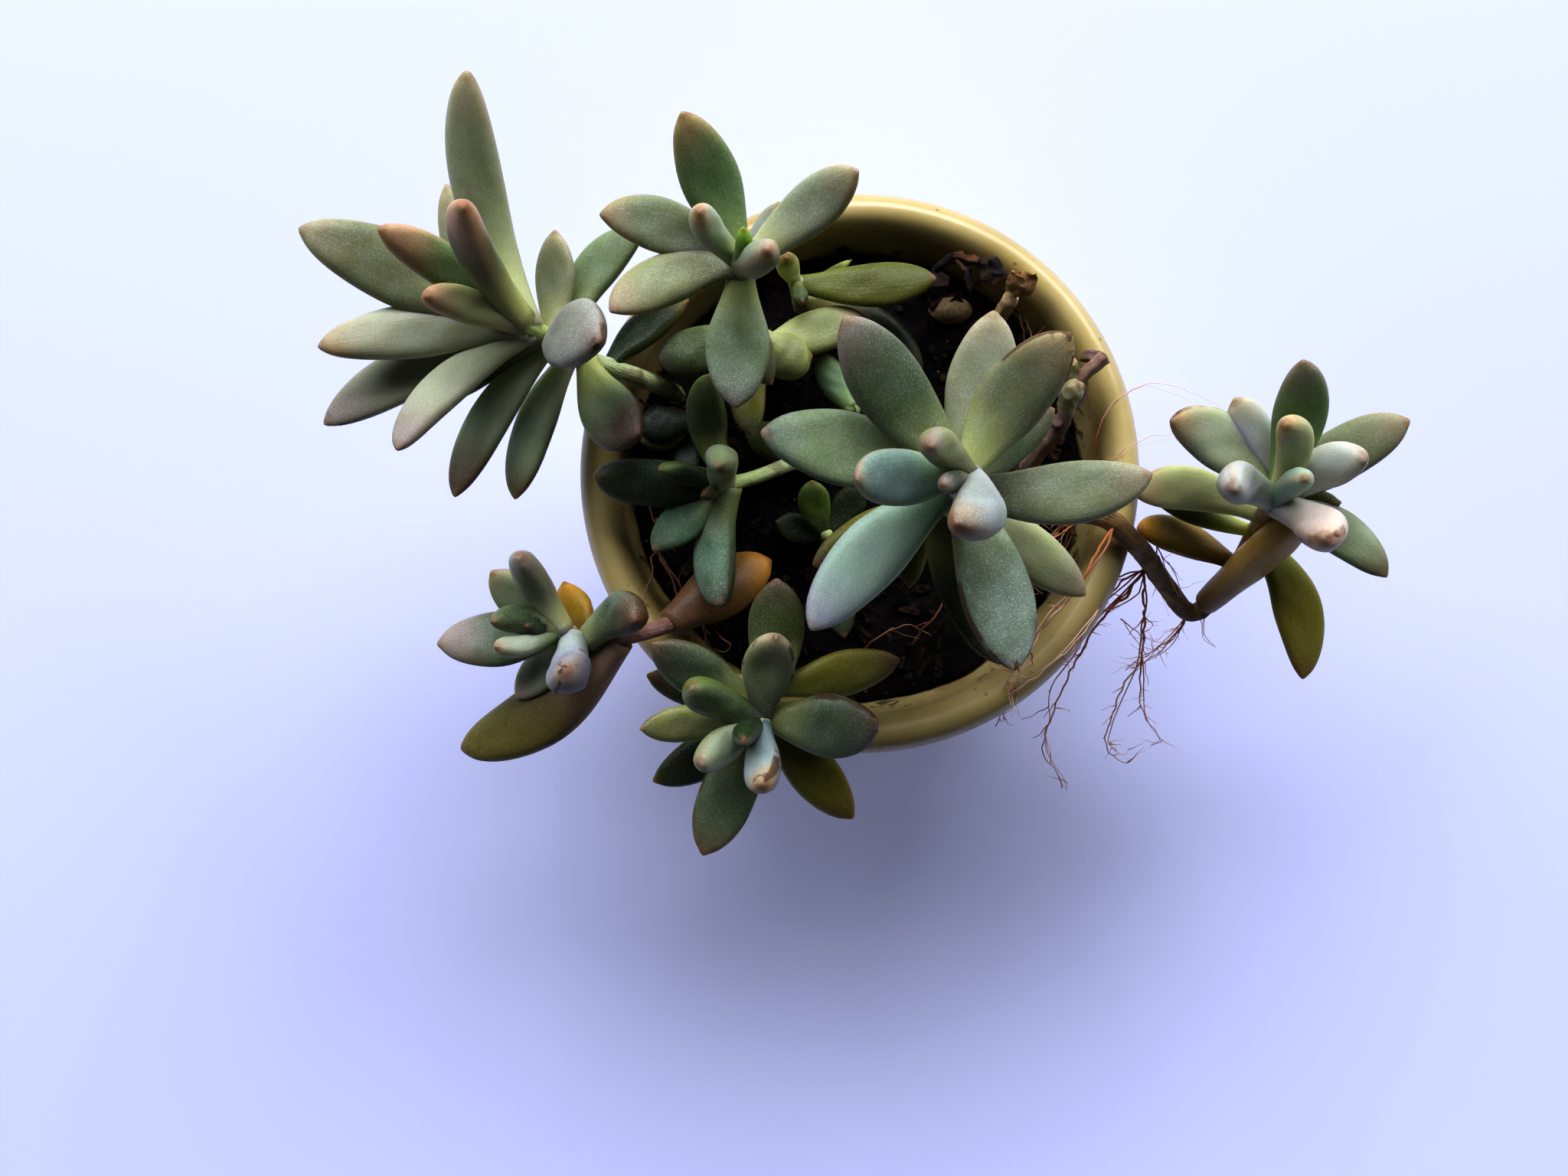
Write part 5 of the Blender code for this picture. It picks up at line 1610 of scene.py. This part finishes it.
@dataclass
class Pot:
    """The round tapered pot with its rolled lip and pierced floor."""

    height: float = 90.0
    foot_radius: float = 38.0
    foot_edge: float = 1.5
    neck_radius: float = 51.4
    lip_middle: float = 52.6
    lip_half_width: float = 4.0
    lip_half_height: float = 5.5
    mouth_radius: float = 48.4
    floor_thickness: float = 3.6
    floor_radius: float = 34.6
    drain_count: int = 5
    drain_radius: float = 3.0
    drain_circle: float = 20.0
    drain_sides: int = 40
    sides: int = 160
    foot_steps: int = 6
    wall_steps: int = 16
    lip_steps: int = 33
    lip_start: float = -62.0
    lip_sweep: float = 242.0
    inner_steps: int = 14
    smooth_angle: float = 40.0

    def wall_radius(self, height: float) -> float:
        """Works out the pot's inner radius on its straight inner wall.

        Args:
            height: how far above the pot's underside.

        Returns:
            The radius there.
        """
        climb = self.lip_half_height + self.floor_thickness
        share = (height - self.floor_thickness) / (self.height - climb)
        return self.floor_radius + (self.mouth_radius - self.floor_radius) * min(1.0, share)

    def _stations(self) -> list[tuple[float, float]]:
        """Draws the profile that is turned.

        Returns:
            Radii and heights, from the underside round the lip to the inner floor.
        """
        lip_height = self.height - self.lip_half_height
        low = lip_height - self.lip_half_height
        stations = [(self.foot_radius * share, 0.0) for share in (0.10, 0.4, 0.7)]
        for step in range(self.foot_steps + 1):
            angle = math.radians(-90 + 90 * step / self.foot_steps)
            across = self.foot_radius - self.foot_edge * (1 - math.cos(angle))
            stations.append((across, self.foot_edge * (1 + math.sin(angle))))
        for step in range(1, self.wall_steps + 1):
            share = step / self.wall_steps
            rise = self.foot_edge + (low - self.foot_edge) * share
            stations.append((self.foot_radius + (self.neck_radius - self.foot_radius) * share, rise))
        for step in range(self.lip_steps + 1):
            angle = math.radians(self.lip_start + self.lip_sweep * step / self.lip_steps)
            across = self.lip_middle + self.lip_half_width * math.cos(angle)
            stations.append((across, lip_height + self.lip_half_height * math.sin(angle)))
        fall = lip_height - self.floor_thickness - self.foot_edge
        for step in range(1, self.inner_steps + 1):
            height = lip_height - fall * step / self.inner_steps
            stations.append((self.wall_radius(height), height))
        stations += [(self.floor_radius * share, self.floor_thickness) for share in (0.95, 0.7, 0.4, 0.1)]
        return stations

    def build(self, skins: dict[str, bpy.types.Material]) -> bpy.types.Object:
        """Turns the pot and cuts its drainage holes.

        Args:
            skins: the finished materials by name.

        Returns:
            The finished pot, in place of its plain solid.
        """
        pot = turn("pot_glazed", self._stations(), self.sides)
        drills = []
        for number in range(self.drain_count):
            angle = 2 * math.pi * number / self.drain_count
            place = (self.drain_circle * math.cos(angle) * MM, self.drain_circle * math.sin(angle) * MM, 0)
            deselect()
            bpy.ops.mesh.primitive_cylinder_add(
                vertices=self.drain_sides,
                radius=self.drain_radius * MM,
                depth=4 * self.floor_thickness * MM,
                location=place,
            )
            drills.append(bpy.context.active_object)
        drill = join("drain_drill", drills)
        cut = pot.modifiers.new("drains", "BOOLEAN")
        cut.operation = "DIFFERENCE"
        cut.object = drill
        pick(pot)
        bpy.ops.object.modifier_apply(modifier=cut.name)
        bpy.data.objects.remove(drill)
        pick(pot)
        bpy.ops.object.shade_smooth_by_angle(angle=math.radians(self.smooth_angle))
        pot.data.materials.append(skins["glaze"])
        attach(pot, "root")
        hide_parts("pot")
        return pot


class Bit(Enum):
    """The loose bits that are modelled once and copied over the mix."""

    BARK = "bark"
    GRIT = "grit"


@dataclass(frozen=True)
class Litter:
    """One sort of loose bit: how many lie on the mix, their lengths, their tilt and finish.

    The lengths are in millimetres and the tilt, the most that a bit leans, in degrees.
    """

    name: str
    bit: Bit
    count: int
    least: float
    greatest: float
    tilt: float
    finish: str


@dataclass
class PottingMix:
    """The dark mix with its clods, and the loose bark and grit on it.

    bit_margin keeps the loose bits off the wall, in millimetres, and bit_smallness is
    the power that makes most of them small.
    """

    pot: Pot
    chance: random.Random
    level: float = 78.0
    mound: float = 2.2
    relief: float = 0.8
    gap: float = 0.45
    sides: int = 132
    rings: int = 46
    bit_margin: float = 2.2
    bit_smallness: float = 2.2
    litter: tuple[Litter, ...] = (
        Litter("bark_chips", Bit.BARK, 170, 1.2, 7.0, 40.0, "bark"),
        Litter("grit_grains", Bit.GRIT, 620, 0.5, 2.4, 60.0, "grit"),
        Litter("pale_grains", Bit.GRIT, 46, 0.5, 1.6, 60.0, "pale_grit"),
    )

    def height(self, x: float, y: float) -> float:
        """Works out the height of the mix at a place, without its clods.

        Args:
            x: the place's first coordinate, in millimetres.
            y: its second one.

        Returns:
            The height above the pot's underside.
        """
        share = math.hypot(x, y) / self.pot.mouth_radius
        lumps = math.sin(0.31 * x + 1.3) + math.sin(0.27 * y - 0.6) + math.sin(0.43 * x + 0.38 * y)
        lumps += 0.7 * math.sin(0.71 * x - 0.53 * y + 2.0)
        return self.level + self.mound * (1 - share * share) - 1.0 + self.relief * lumps / 2

    def clod(self, x: float, y: float) -> float:
        """Works out how far the clods stand above the mix at a place.

        Args:
            x: the place's first coordinate, in millimetres.
            y: its second one.

        Returns:
            The height of the clods there, below 0 between them.
        """
        coarse = noise.noise(Vector((x * 0.28, y * 0.28, 3.1)))
        middle = noise.noise(Vector((x * 0.62, y * 0.62, 7.7)))
        crisp = noise.cell(Vector((x * 0.9, y * 0.9, 1.3)))
        return 1.1 * coarse + 0.7 * abs(middle) + 0.35 * crisp - 0.35

    def _ground(self) -> bpy.types.Object:
        """Turns the body of the mix and raises its clods.

        Returns:
            The mix, in metres.
        """
        bottom = self.pot.floor_thickness + 0.3
        stations = [(self.pot.floor_radius - 3.0, bottom)]
        for share in (0.03, 0.25, 0.5, 0.75, 0.97):
            height = bottom + (self.level - 2.0 - bottom) * share
            stations.append((self.pot.wall_radius(height) - self.gap, height))
        rim = self.pot.wall_radius(self.level - 2.5) - self.gap
        stations += [(rim * (1 - ring / self.rings), self.level) for ring in range(self.rings)]
        ground = turn("soil_clods", stations, self.sides, pointed=True)
        places = points_of(ground.data) / MM
        for number, (x, y, z) in enumerate(places):
            if z > self.level - 1.0:
                places[number, 2] = self.height(x, y) + self.clod(x, y)
        set_points(ground.data, places * MM)
        return ground

    def _model_bit(self, kind: Bit) -> bpy.types.Object:
        """Models one bit, one unit long, to be copied.

        Args:
            kind: a chip of bark or a grain of grit.

        Returns:
            The bit.
        """
        deselect()
        if kind is Bit.BARK:
            bpy.ops.mesh.primitive_cube_add(size=1.0)
        else:
            bpy.ops.mesh.primitive_ico_sphere_add(subdivisions=2, radius=0.5)
        bit = bpy.context.active_object
        bpy.ops.object.mode_set(mode="EDIT")
        bpy.ops.mesh.select_all(action="SELECT")
        if kind is Bit.BARK:
            bpy.ops.transform.resize(value=(1.0, 0.5, 0.22))
            bpy.ops.mesh.subdivide(number_cuts=2)
        seed = 5 if kind is Bit.BARK else 9
        bpy.ops.transform.vertex_random(offset=0.10, uniform=0.6, normal=0.2, seed=seed)
        bpy.ops.mesh.normals_make_consistent(inside=False)
        bpy.ops.object.mode_set(mode="OBJECT")
        return bit

    def _scatter(self, litter: Litter, skins: dict[str, bpy.types.Material]) -> bpy.types.Object:
        """Copies one bit over the mix, half sunk, and joins the copies.

        Args:
            litter: the sort of bit and how it lies.
            skins: the finished materials by name.

        Returns:
            The joined bits.
        """
        bit = self._model_bit(litter.bit)
        shape = points_of(bit.data)
        tilt = math.radians(litter.tilt)
        bits = []
        for _ in range(litter.count):
            far = (self.pot.mouth_radius - self.bit_margin) * math.sqrt(self.chance.random())
            round_way = self.chance.uniform(0, 2 * math.pi)
            x, y = far * math.cos(round_way), far * math.sin(round_way)
            share = self.chance.random() ** self.bit_smallness
            size = litter.least + (litter.greatest - litter.least) * share
            turn_way = self.chance.uniform(0, 2 * math.pi)
            tips = (self.chance.uniform(-tilt, tilt), self.chance.uniform(-tilt, tilt))
            spin = np.array(
                (
                    (math.cos(turn_way), -math.sin(turn_way), 0),
                    (math.sin(turn_way), math.cos(turn_way), 0),
                    (math.sin(tips[0]), math.sin(tips[1]), 1),
                )
            )
            stretch = np.array((1.0, self.chance.uniform(0.6, 1.2), self.chance.uniform(0.6, 1.3)))
            places = (shape * stretch * size) @ spin.T
            places += (x, y, self.height(x, y) + max(0.0, self.clod(x, y)) + size * 0.04)
            mesh = bit.data.copy()
            set_points(mesh, places * MM)
            copy = bpy.data.objects.new(litter.bit.value, mesh)
            bpy.context.scene.collection.objects.link(copy)
            bits.append(copy)
        bpy.data.objects.remove(bit)
        spread = join(litter.name, bits)
        spread.data.materials.append(skins[litter.finish])
        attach(spread, "root")
        return spread

    def build(self, skins: dict[str, bpy.types.Material]) -> list[bpy.types.Object]:
        """Makes the mix and what lies on it.

        Args:
            skins: the finished materials by name.

        Returns:
            The pieces made.
        """
        ground = self._ground()
        pick(ground)
        bpy.ops.object.shade_smooth()
        ground.data.materials.append(skins["soil"])
        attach(ground, "root")
        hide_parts("soil")
        return [ground, *(self._scatter(litter, skins) for litter in self.litter)]


@dataclass
class Pebble:
    """The pale pebble that lies half sunk in the mix."""

    middle: Point = (19.3, 34.3, 79.6)
    half_size: Point = (4.8, 2.8, 2.2)

    def build(self, skins: dict[str, bpy.types.Material]) -> bpy.types.Object:
        """Models the pebble as a worn, slightly lumpy stone.

        Args:
            skins: the finished materials by name.

        Returns:
            The pebble, in place of its plain solid.
        """
        deselect()
        bpy.ops.mesh.primitive_ico_sphere_add(subdivisions=5, radius=1.0)
        stone = bpy.context.active_object
        bpy.ops.object.shade_smooth()
        places = points_of(stone.data)
        lumps = np.array([noise.noise(Vector(place) * 1.3) for place in places])
        places = places * (0.96 + 0.10 * lumps)[:, None] * self.half_size + self.middle
        set_points(stone.data, places * MM)
        stone.name = "pebble_worn"
        stone.data.materials.append(skins["pebble"])
        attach(stone, "root")
        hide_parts("pebble")
        return stone


@dataclass(frozen=True)
class Root:
    """One hair root: its path in millimetres, its radius where it starts, and its side hairs."""

    path: tuple[Point, ...]
    radius: float
    twigs: int


HANGING_ROOTS = (
    Root(((59.5, -18, 83), (55.9, -24.6, 78), (51.8, -30.2, 72), (49.1, -37.9, 66), (47.9, -43.5, 60),
          (45.5, -53.8, 52), (45.5, -60.2, 47), (49.4, -65.5, 44), (50.7, -69.2, 42)), 0.30, 9),
    Root(((58.8, -19, 83), (61, -26.9, 76), (63.8, -37, 64), (61.5, -44, 58), (60, -52.8, 52),
          (59, -57, 50), (62, -61.4, 47), (65.7, -62.8, 46), (67.6, -60.8, 46)), 0.28, 12),
    Root(((63.8, -37, 64), (65.7, -48.3, 55), (69.4, -53.5, 50), (73, -57.4, 47),
          (71.3, -59, 46)), 0.20, 7),
    Root(((59, -18.5, 83), (53.4, -22, 84), (50.2, -25, 86), (46.5, -28.8, 91.5), (41.9, -34, 93),
          (36.2, -38.9, 92.5), (29.6, -43.8, 90)), 0.24, 9),
    Root(((59.5, -19, 82), (54, -26, 78), (50, -29.5, 74), (46, -37, 66), (44, -41.5, 62)), 0.22, 9),
    Root(((60, -18.5, 82), (52, -20.6, 84), (47.5, -25.4, 82), (43, -30.6, 78)), 0.19, 7),
    Root(((71, -28, 72), (70.5, -32.6, 66), (66, -37, 60), (62.2, -40.6, 56)), 0.22, 7),
    Root(((71.2, -28, 72), (69.6, -34.4, 64), (65.4, -39.4, 58), (63.4, -40.6, 56)), 0.18, 6),
    Root(((72.4, -27, 74), (75.2, -28, 70), (76.9, -32.6, 66), (79.6, -35, 64)), 0.14, 1),
    Root(((61, -14, 85), (62.8, -16.4, 84), (65.4, -19, 82), (67.4, -24, 80)), 0.13, 3),
    Root(((61, -14.2, 85), (62, -20, 81), (66.8, -25.2, 76)), 0.12, 2),
    Root(((57, -29, 72), (61.2, -31.6, 68), (65.4, -33.6, 64), (71, -34.8, 62)), 0.13, 4),
    Root(((50, -9.5, 95.5), (44.6, -17.5, 98), (41.7, -23.4, 97), (37, -28.4, 95), (33.8, -34, 94),
          (31.7, -39.3, 93), (29.4, -45.2, 88), (29.6, -51.2, 78)), 0.33, 8),
    Root(((42.5, -8.5, 93), (38, -13, 88), (33, -16, 83), (28, -21, 79)), 0.18, 16),
    Root(((43, -9, 93), (41, -15, 86), (36, -20, 81), (35, -27, 78.5)), 0.18, 14),
    Root(((45, -9.5, 94), (37, -9, 90), (31, -11, 84), (25, -12, 79)), 0.17, 18),
    Root(((44, -9, 93.5), (36, -14, 92), (30, -14.5, 88), (24, -17, 82)), 0.16, 16),
    Root(((48, 4.4, 88), (47.4, 9, 94), (49.3, 13.5, 98), (54, 16.3, 102), (57.5, 15.6, 104),
          (61.5, 14.2, 106), (66, 11.2, 109)), 0.12, 0),
    Root(((46, 0, 90.6), (50.3, 3.3, 96), (54, 6.0, 99), (60, 7.2, 103)), 0.11, 0),
)

DRY_ROOTS = (
    Root(((-37, -12, 84), (-40.2, -15.5, 92), (-40.6, -19.2, 93), (-42.8, -26, 90.8)), 0.22, 1),
    Root(((-30, -28, 84), (-28, -31.4, 88), (-25.6, -33.4, 88), (-26.2, -35.4, 87),
          (-29, -34.4, 86)), 0.24, 0),
    Root(((-41, -8, 80), (-40, -14, 84), (-38, -20, 85), (-34, -27, 82), (-30, -32, 80)), 0.35, 5),
    Root(((-42, -12, 82), (-39, -17, 82), (-36, -22, 84), (-36, -29, 80)), 0.30, 5),
    Root(((-43, 4, 81), (-43, -3, 83), (-41, -9, 82), (-38, -14, 79)), 0.26, 4),
    Root(((-44, 16, 84), (-40, 13, 86), (-36, 14, 86), (-31, 12, 82)), 0.30, 5),
    Root(((-40, 21, 88), (-36, 17.5, 87), (-33, 15, 86), (-29, 15.5, 84), (-25, 17, 80)), 0.26, 5),
    Root(((30, 24, 80), (34, 26, 84), (36, 29, 83), (35, 33, 80)), 0.30, 4),
    Root(((12, -34, 80), (16, -28, 83), (20, -21, 84), (25, -16, 80)), 0.30, 3),
    Root(((-4, -40, 80), (4, -33, 83), (10, -30, 82), (16, -32, 79)), 0.22, 4),
    Root(((2, 6, 80), (6, 9, 83), (11, 8, 82), (16, 11, 79)), 0.22, 3),
)


@dataclass
class RootTangle:
    """A group of hair roots with finer side hairs, joined in one piece.

    taper is the share of its radius that a strand loses on its way. stray is about how
    far it wanders to a side, in millimetres, and waves how often it does so to a step.
    Each further strand of a root is thinner by the share slimming, and strays further
    by loosening times.
    """

    name: str
    roots: tuple[Root, ...]
    slot: str
    finish: str
    chance: random.Random
    step: float = 1.0
    twig_step: float = 0.9
    twig_least: float = 2.0
    twig_greatest: float = 7.5
    twig_sag: float = 0.25
    sides: int = 6
    taper: float = 0.55
    stray: float = 0.70
    waves: float = 0.35
    strands: int = 1
    slimming: float = 0.3
    loosening: float = 5.0

    def _strand(self, path: list[Vector], radius: float) -> bpy.types.Object:
        """Models one strand that narrows to its end.

        Args:
            path: its points in millimetres.
            radius: its radius where it starts.

        Returns:
            The strand, in metres.
        """
        last = len(path) - 1
        radii = [radius * (1 - self.taper * number / last) for number in range(last + 1)]
        strand, spots = lay_tube("strand", path, radii, self.sides)
        share = spots[:, 0] / last
        store(strand.data, "leaf_place", np.column_stack((share, np.cos(spots[:, 1]), np.sin(spots[:, 1]))))
        return strand

    def _wander(self, path: list[Vector], looseness: float = 1.0) -> list[Vector]:
        """Lets a path stray a little to each side, but not at its start.

        Args:
            path: its points before it strays.
            looseness: how many times further it strays, in waves as many times longer.

        Returns:
            The path that has strayed.
        """
        seed = self.chance.uniform(0, 100)
        strayed = []
        for number, point in enumerate(path):
            reach = min(1.0, number / 4)
            aside = noise.noise_vector(Vector((seed, number * self.waves / looseness, 0)))
            strayed.append(point + aside * self.stray * looseness * reach)
        return strayed

    def _twig(self, line: list[Vector]) -> list[Vector]:
        """Lays a side hair that leaves a root somewhere past its start and sags.

        Args:
            line: the root's points.

        Returns:
            The side hair's points.
        """
        number = self.chance.randrange(max(1, len(line) // 5), len(line) - 1)
        start = line[number]
        way = (line[number + 1] - line[number - 1]).normalized()
        aside = Vector([self.chance.uniform(-1, 1) for _ in range(3)])
        way = (way * 0.7 + aside.normalized()).normalized()
        length = self.chance.uniform(self.twig_least, self.twig_greatest)
        sag = Vector((0, 0, -self.twig_sag * length))
        knots = [start + way * length * share + sag * share**2 for share in (0, 0.35, 0.7, 1)]
        return self._wander(smooth_path(knots, self.twig_step))

    def build(self, skins: dict[str, bpy.types.Material]) -> bpy.types.Object:
        """Models every root with its side hairs.

        Args:
            skins: the finished materials by name.

        Returns:
            The joined roots.
        """
        strands = []
        for root, number in itertools.product(self.roots, range(self.strands)):
            path = smooth_path([stood(place) for place in root.path], self.step)
            line = self._wander(path, 1 + self.loosening * number)
            radius = root.radius * (1 - self.slimming * number)
            strands.append(self._strand(line, radius))
            for _ in range(root.twigs):
                twig = self._twig(line)
                strands.append(self._strand(twig, radius * self.chance.uniform(0.35, 0.6)))
        tangle = join(self.name, strands)
        tangle.data.materials.append(skins[self.finish])
        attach(tangle, "root")
        return tangle


@dataclass(frozen=True)
class Lamp:
    """A soft panel of light that looks at the middle of the plant."""

    name: str
    place: Point
    width: float
    height: float
    power: float
    tint: Point
    aim: Point = (0.0, 0.0, 0.08)

    def light(self) -> bpy.types.Object:
        """Hangs the light.

        Returns:
            The light.
        """
        deselect()
        bpy.ops.object.light_add(type="AREA", location=self.place)
        lamp = bpy.context.active_object
        lamp.name = self.name
        lamp.rotation_euler = (Vector(self.place) - Vector(self.aim)).to_track_quat("Z", "Y").to_euler()
        lamp.data.shape = "RECTANGLE"
        lamp.data.size = self.width
        lamp.data.size_y = self.height
        lamp.data.energy = self.power
        lamp.data.color = self.tint
        lamp.visible_camera = False
        return lamp


@dataclass
class Studio:
    """The pale floor, the soft lights and the camera that looks straight down."""

    floor_size: float = 8.0
    floor_tint: str = "CACBE1"
    camera_place: Point = (-0.0153, -0.0231, 0.350)
    lens: float = 30.0
    sensor: float = 36.0
    air: Colour = (0.62, 0.74, 1.0, 1.0)
    air_strength: float = 0.02
    horizon_strength: float = 0.10
    horizon_top: float = 0.3
    gamma: float = 0.714
    lamps: tuple[Lamp, ...] = (
        Lamp("window", (0.0, 3.34, 3.09), 3.0, 2.4, 290.0, (0.80, 0.84, 1.0)),
        Lamp("window_left", (-2.44, 2.44, 2.97), 2.6, 2.2, 165.0, (0.80, 0.84, 1.0)),
        Lamp("window_right", (2.76, 2.76, 2.33), 2.6, 2.4, 160.0, (0.80, 0.84, 1.0)),
    )

    def _floor(self) -> bpy.types.Object:
        """Lays the pale floor.

        Returns:
            The floor.
        """
        deselect()
        bpy.ops.mesh.primitive_plane_add(size=self.floor_size)
        floor = bpy.context.active_object
        floor.name = "floor"
        recipe = Recipe("pale_floor")
        cloud = recipe.noise(recipe.place(), 3.0, 2.0)
        hue = recipe.shade(colour(self.floor_tint), 0.98 + cloud * 0.04)
        floor.data.materials.append(recipe.finish(Base_Color=hue, Roughness=0.7))
        return floor

    def _air(self) -> None:
        """Fills the room with weak, cool light that is brightest along the horizon."""
        world = bpy.data.worlds.new("room")
        world.use_nodes = True
        tree = world.node_tree
        sky = tree.nodes["Background"]
        sky.inputs["Color"].default_value = self.air
        way = tree.nodes.new("ShaderNodeTexCoord")
        climb = tree.nodes.new("ShaderNodeSeparateXYZ")
        glow = tree.nodes.new("ShaderNodeMapRange")
        glow.interpolation_type = "SMOOTHSTEP"
        glow.inputs["From Min"].default_value = 0.0
        glow.inputs["From Max"].default_value = self.horizon_top
        glow.inputs["To Min"].default_value = self.horizon_strength
        glow.inputs["To Max"].default_value = self.air_strength
        tree.links.new(way.outputs["Generated"], climb.inputs[0])
        tree.links.new(climb.outputs["Z"], glow.inputs["Value"])
        tree.links.new(glow.outputs[0], sky.inputs["Strength"])
        bpy.context.scene.world = world

    def _camera(self) -> bpy.types.Object:
        """Hangs the camera over the plant, with the top of its frame towards +Y.

        Returns:
            The camera.
        """
        deselect()
        bpy.ops.object.camera_add(location=self.camera_place, rotation=(0, 0, 0))
        camera = bpy.context.active_object
        camera.name = "camera"
        camera.data.lens = self.lens
        camera.data.sensor_width = self.sensor
        camera.data.clip_start = 0.01
        bpy.context.scene.camera = camera
        return camera

    def build(self) -> None:
        """Sets up the floor, the air, the lights and the camera."""
        self._floor()
        self._air()
        for lamp in self.lamps:
            lamp.light()
        self._camera()
        settings = bpy.context.scene.view_settings
        settings.view_transform = "Standard"
        settings.exposure = 0.0
        settings.gamma = self.gamma


def finishes() -> dict[str, bpy.types.Material]:
    """Makes every material of the plant and its pot.

    Returns:
        The materials by the names that the pieces ask for.
    """
    return {
        "leaf": LeafFinish().material(),
        "stem": StemFinish().material(),
        "husk": HuskFinish().material(),
        "cork": HuskFinish("dry_cork", "4A2E1A", dark_cover=0.18).material(),
        "glaze": GlazeFinish().material(),
        "soil": CrumbFinish("dark_mix", "060403", "1B120C", relief=0.0007).material(),
        "bark": CrumbFinish("bark_chip", "1A100B", "45301F", 420.0, 1800.0, 0.0003).material(),
        "grit": CrumbFinish("grit_grain", "120D0A", "342A20", 300.0, 1900.0).material(),
        "pale_grit": CrumbFinish("pale_grain", "6E5F4B", "9C8B70", 500.0, 1900.0, roughness=0.8).material(),
        "pebble": CrumbFinish("pebble_skin", "7A6848", "94815C", roughness=0.7).material(),
        "hair_root": RootFinish().material(),
        "dry_root": RootFinish("6A4026", "96684A", "A4846A").material(),
    }


def main() -> None:
    """Builds the plant from the pot up, then its floor, lights and camera."""
    logging.basicConfig(level=logging.INFO, format="%(name)s: %(message)s")
    noise.seed_set(NOISE_SEED)
    skins = finishes()
    pot = Pot()
    made = [pot.build(skins)]
    made += PottingMix(pot, random.Random(MIX_SEED)).build(skins)
    made.append(Pebble().build(skins))
    moulds = {kind: LeafMould(kind) for kind in Kind}
    for mould in moulds.values():
        mould.model()
    for number, shoot in enumerate(SHOOTS):
        chance = random.Random(FIRST_SHOOT_SEED + number)
        made.append(LeafyStem(shoot, moulds, chance).build(skins))
    for mould in moulds.values():
        bpy.data.objects.remove(mould.mould)
    chance = random.Random(HANGING_ROOT_SEED)
    hanging = RootTangle("hair_roots", HANGING_ROOTS, "dry_stub", "hair_root", chance, strands=2)
    chance = random.Random(DRY_ROOT_SEED)
    dry = RootTangle("dry_roots", DRY_ROOTS, "dry_stalk", "dry_root", chance)
    made += [hanging.build(skins), dry.build(skins)]
    for piece in made:
        log.info("%s: %d faces", piece.name, len(piece.data.polygons))
    Studio().build()


if __name__ == "__main__":
    main()
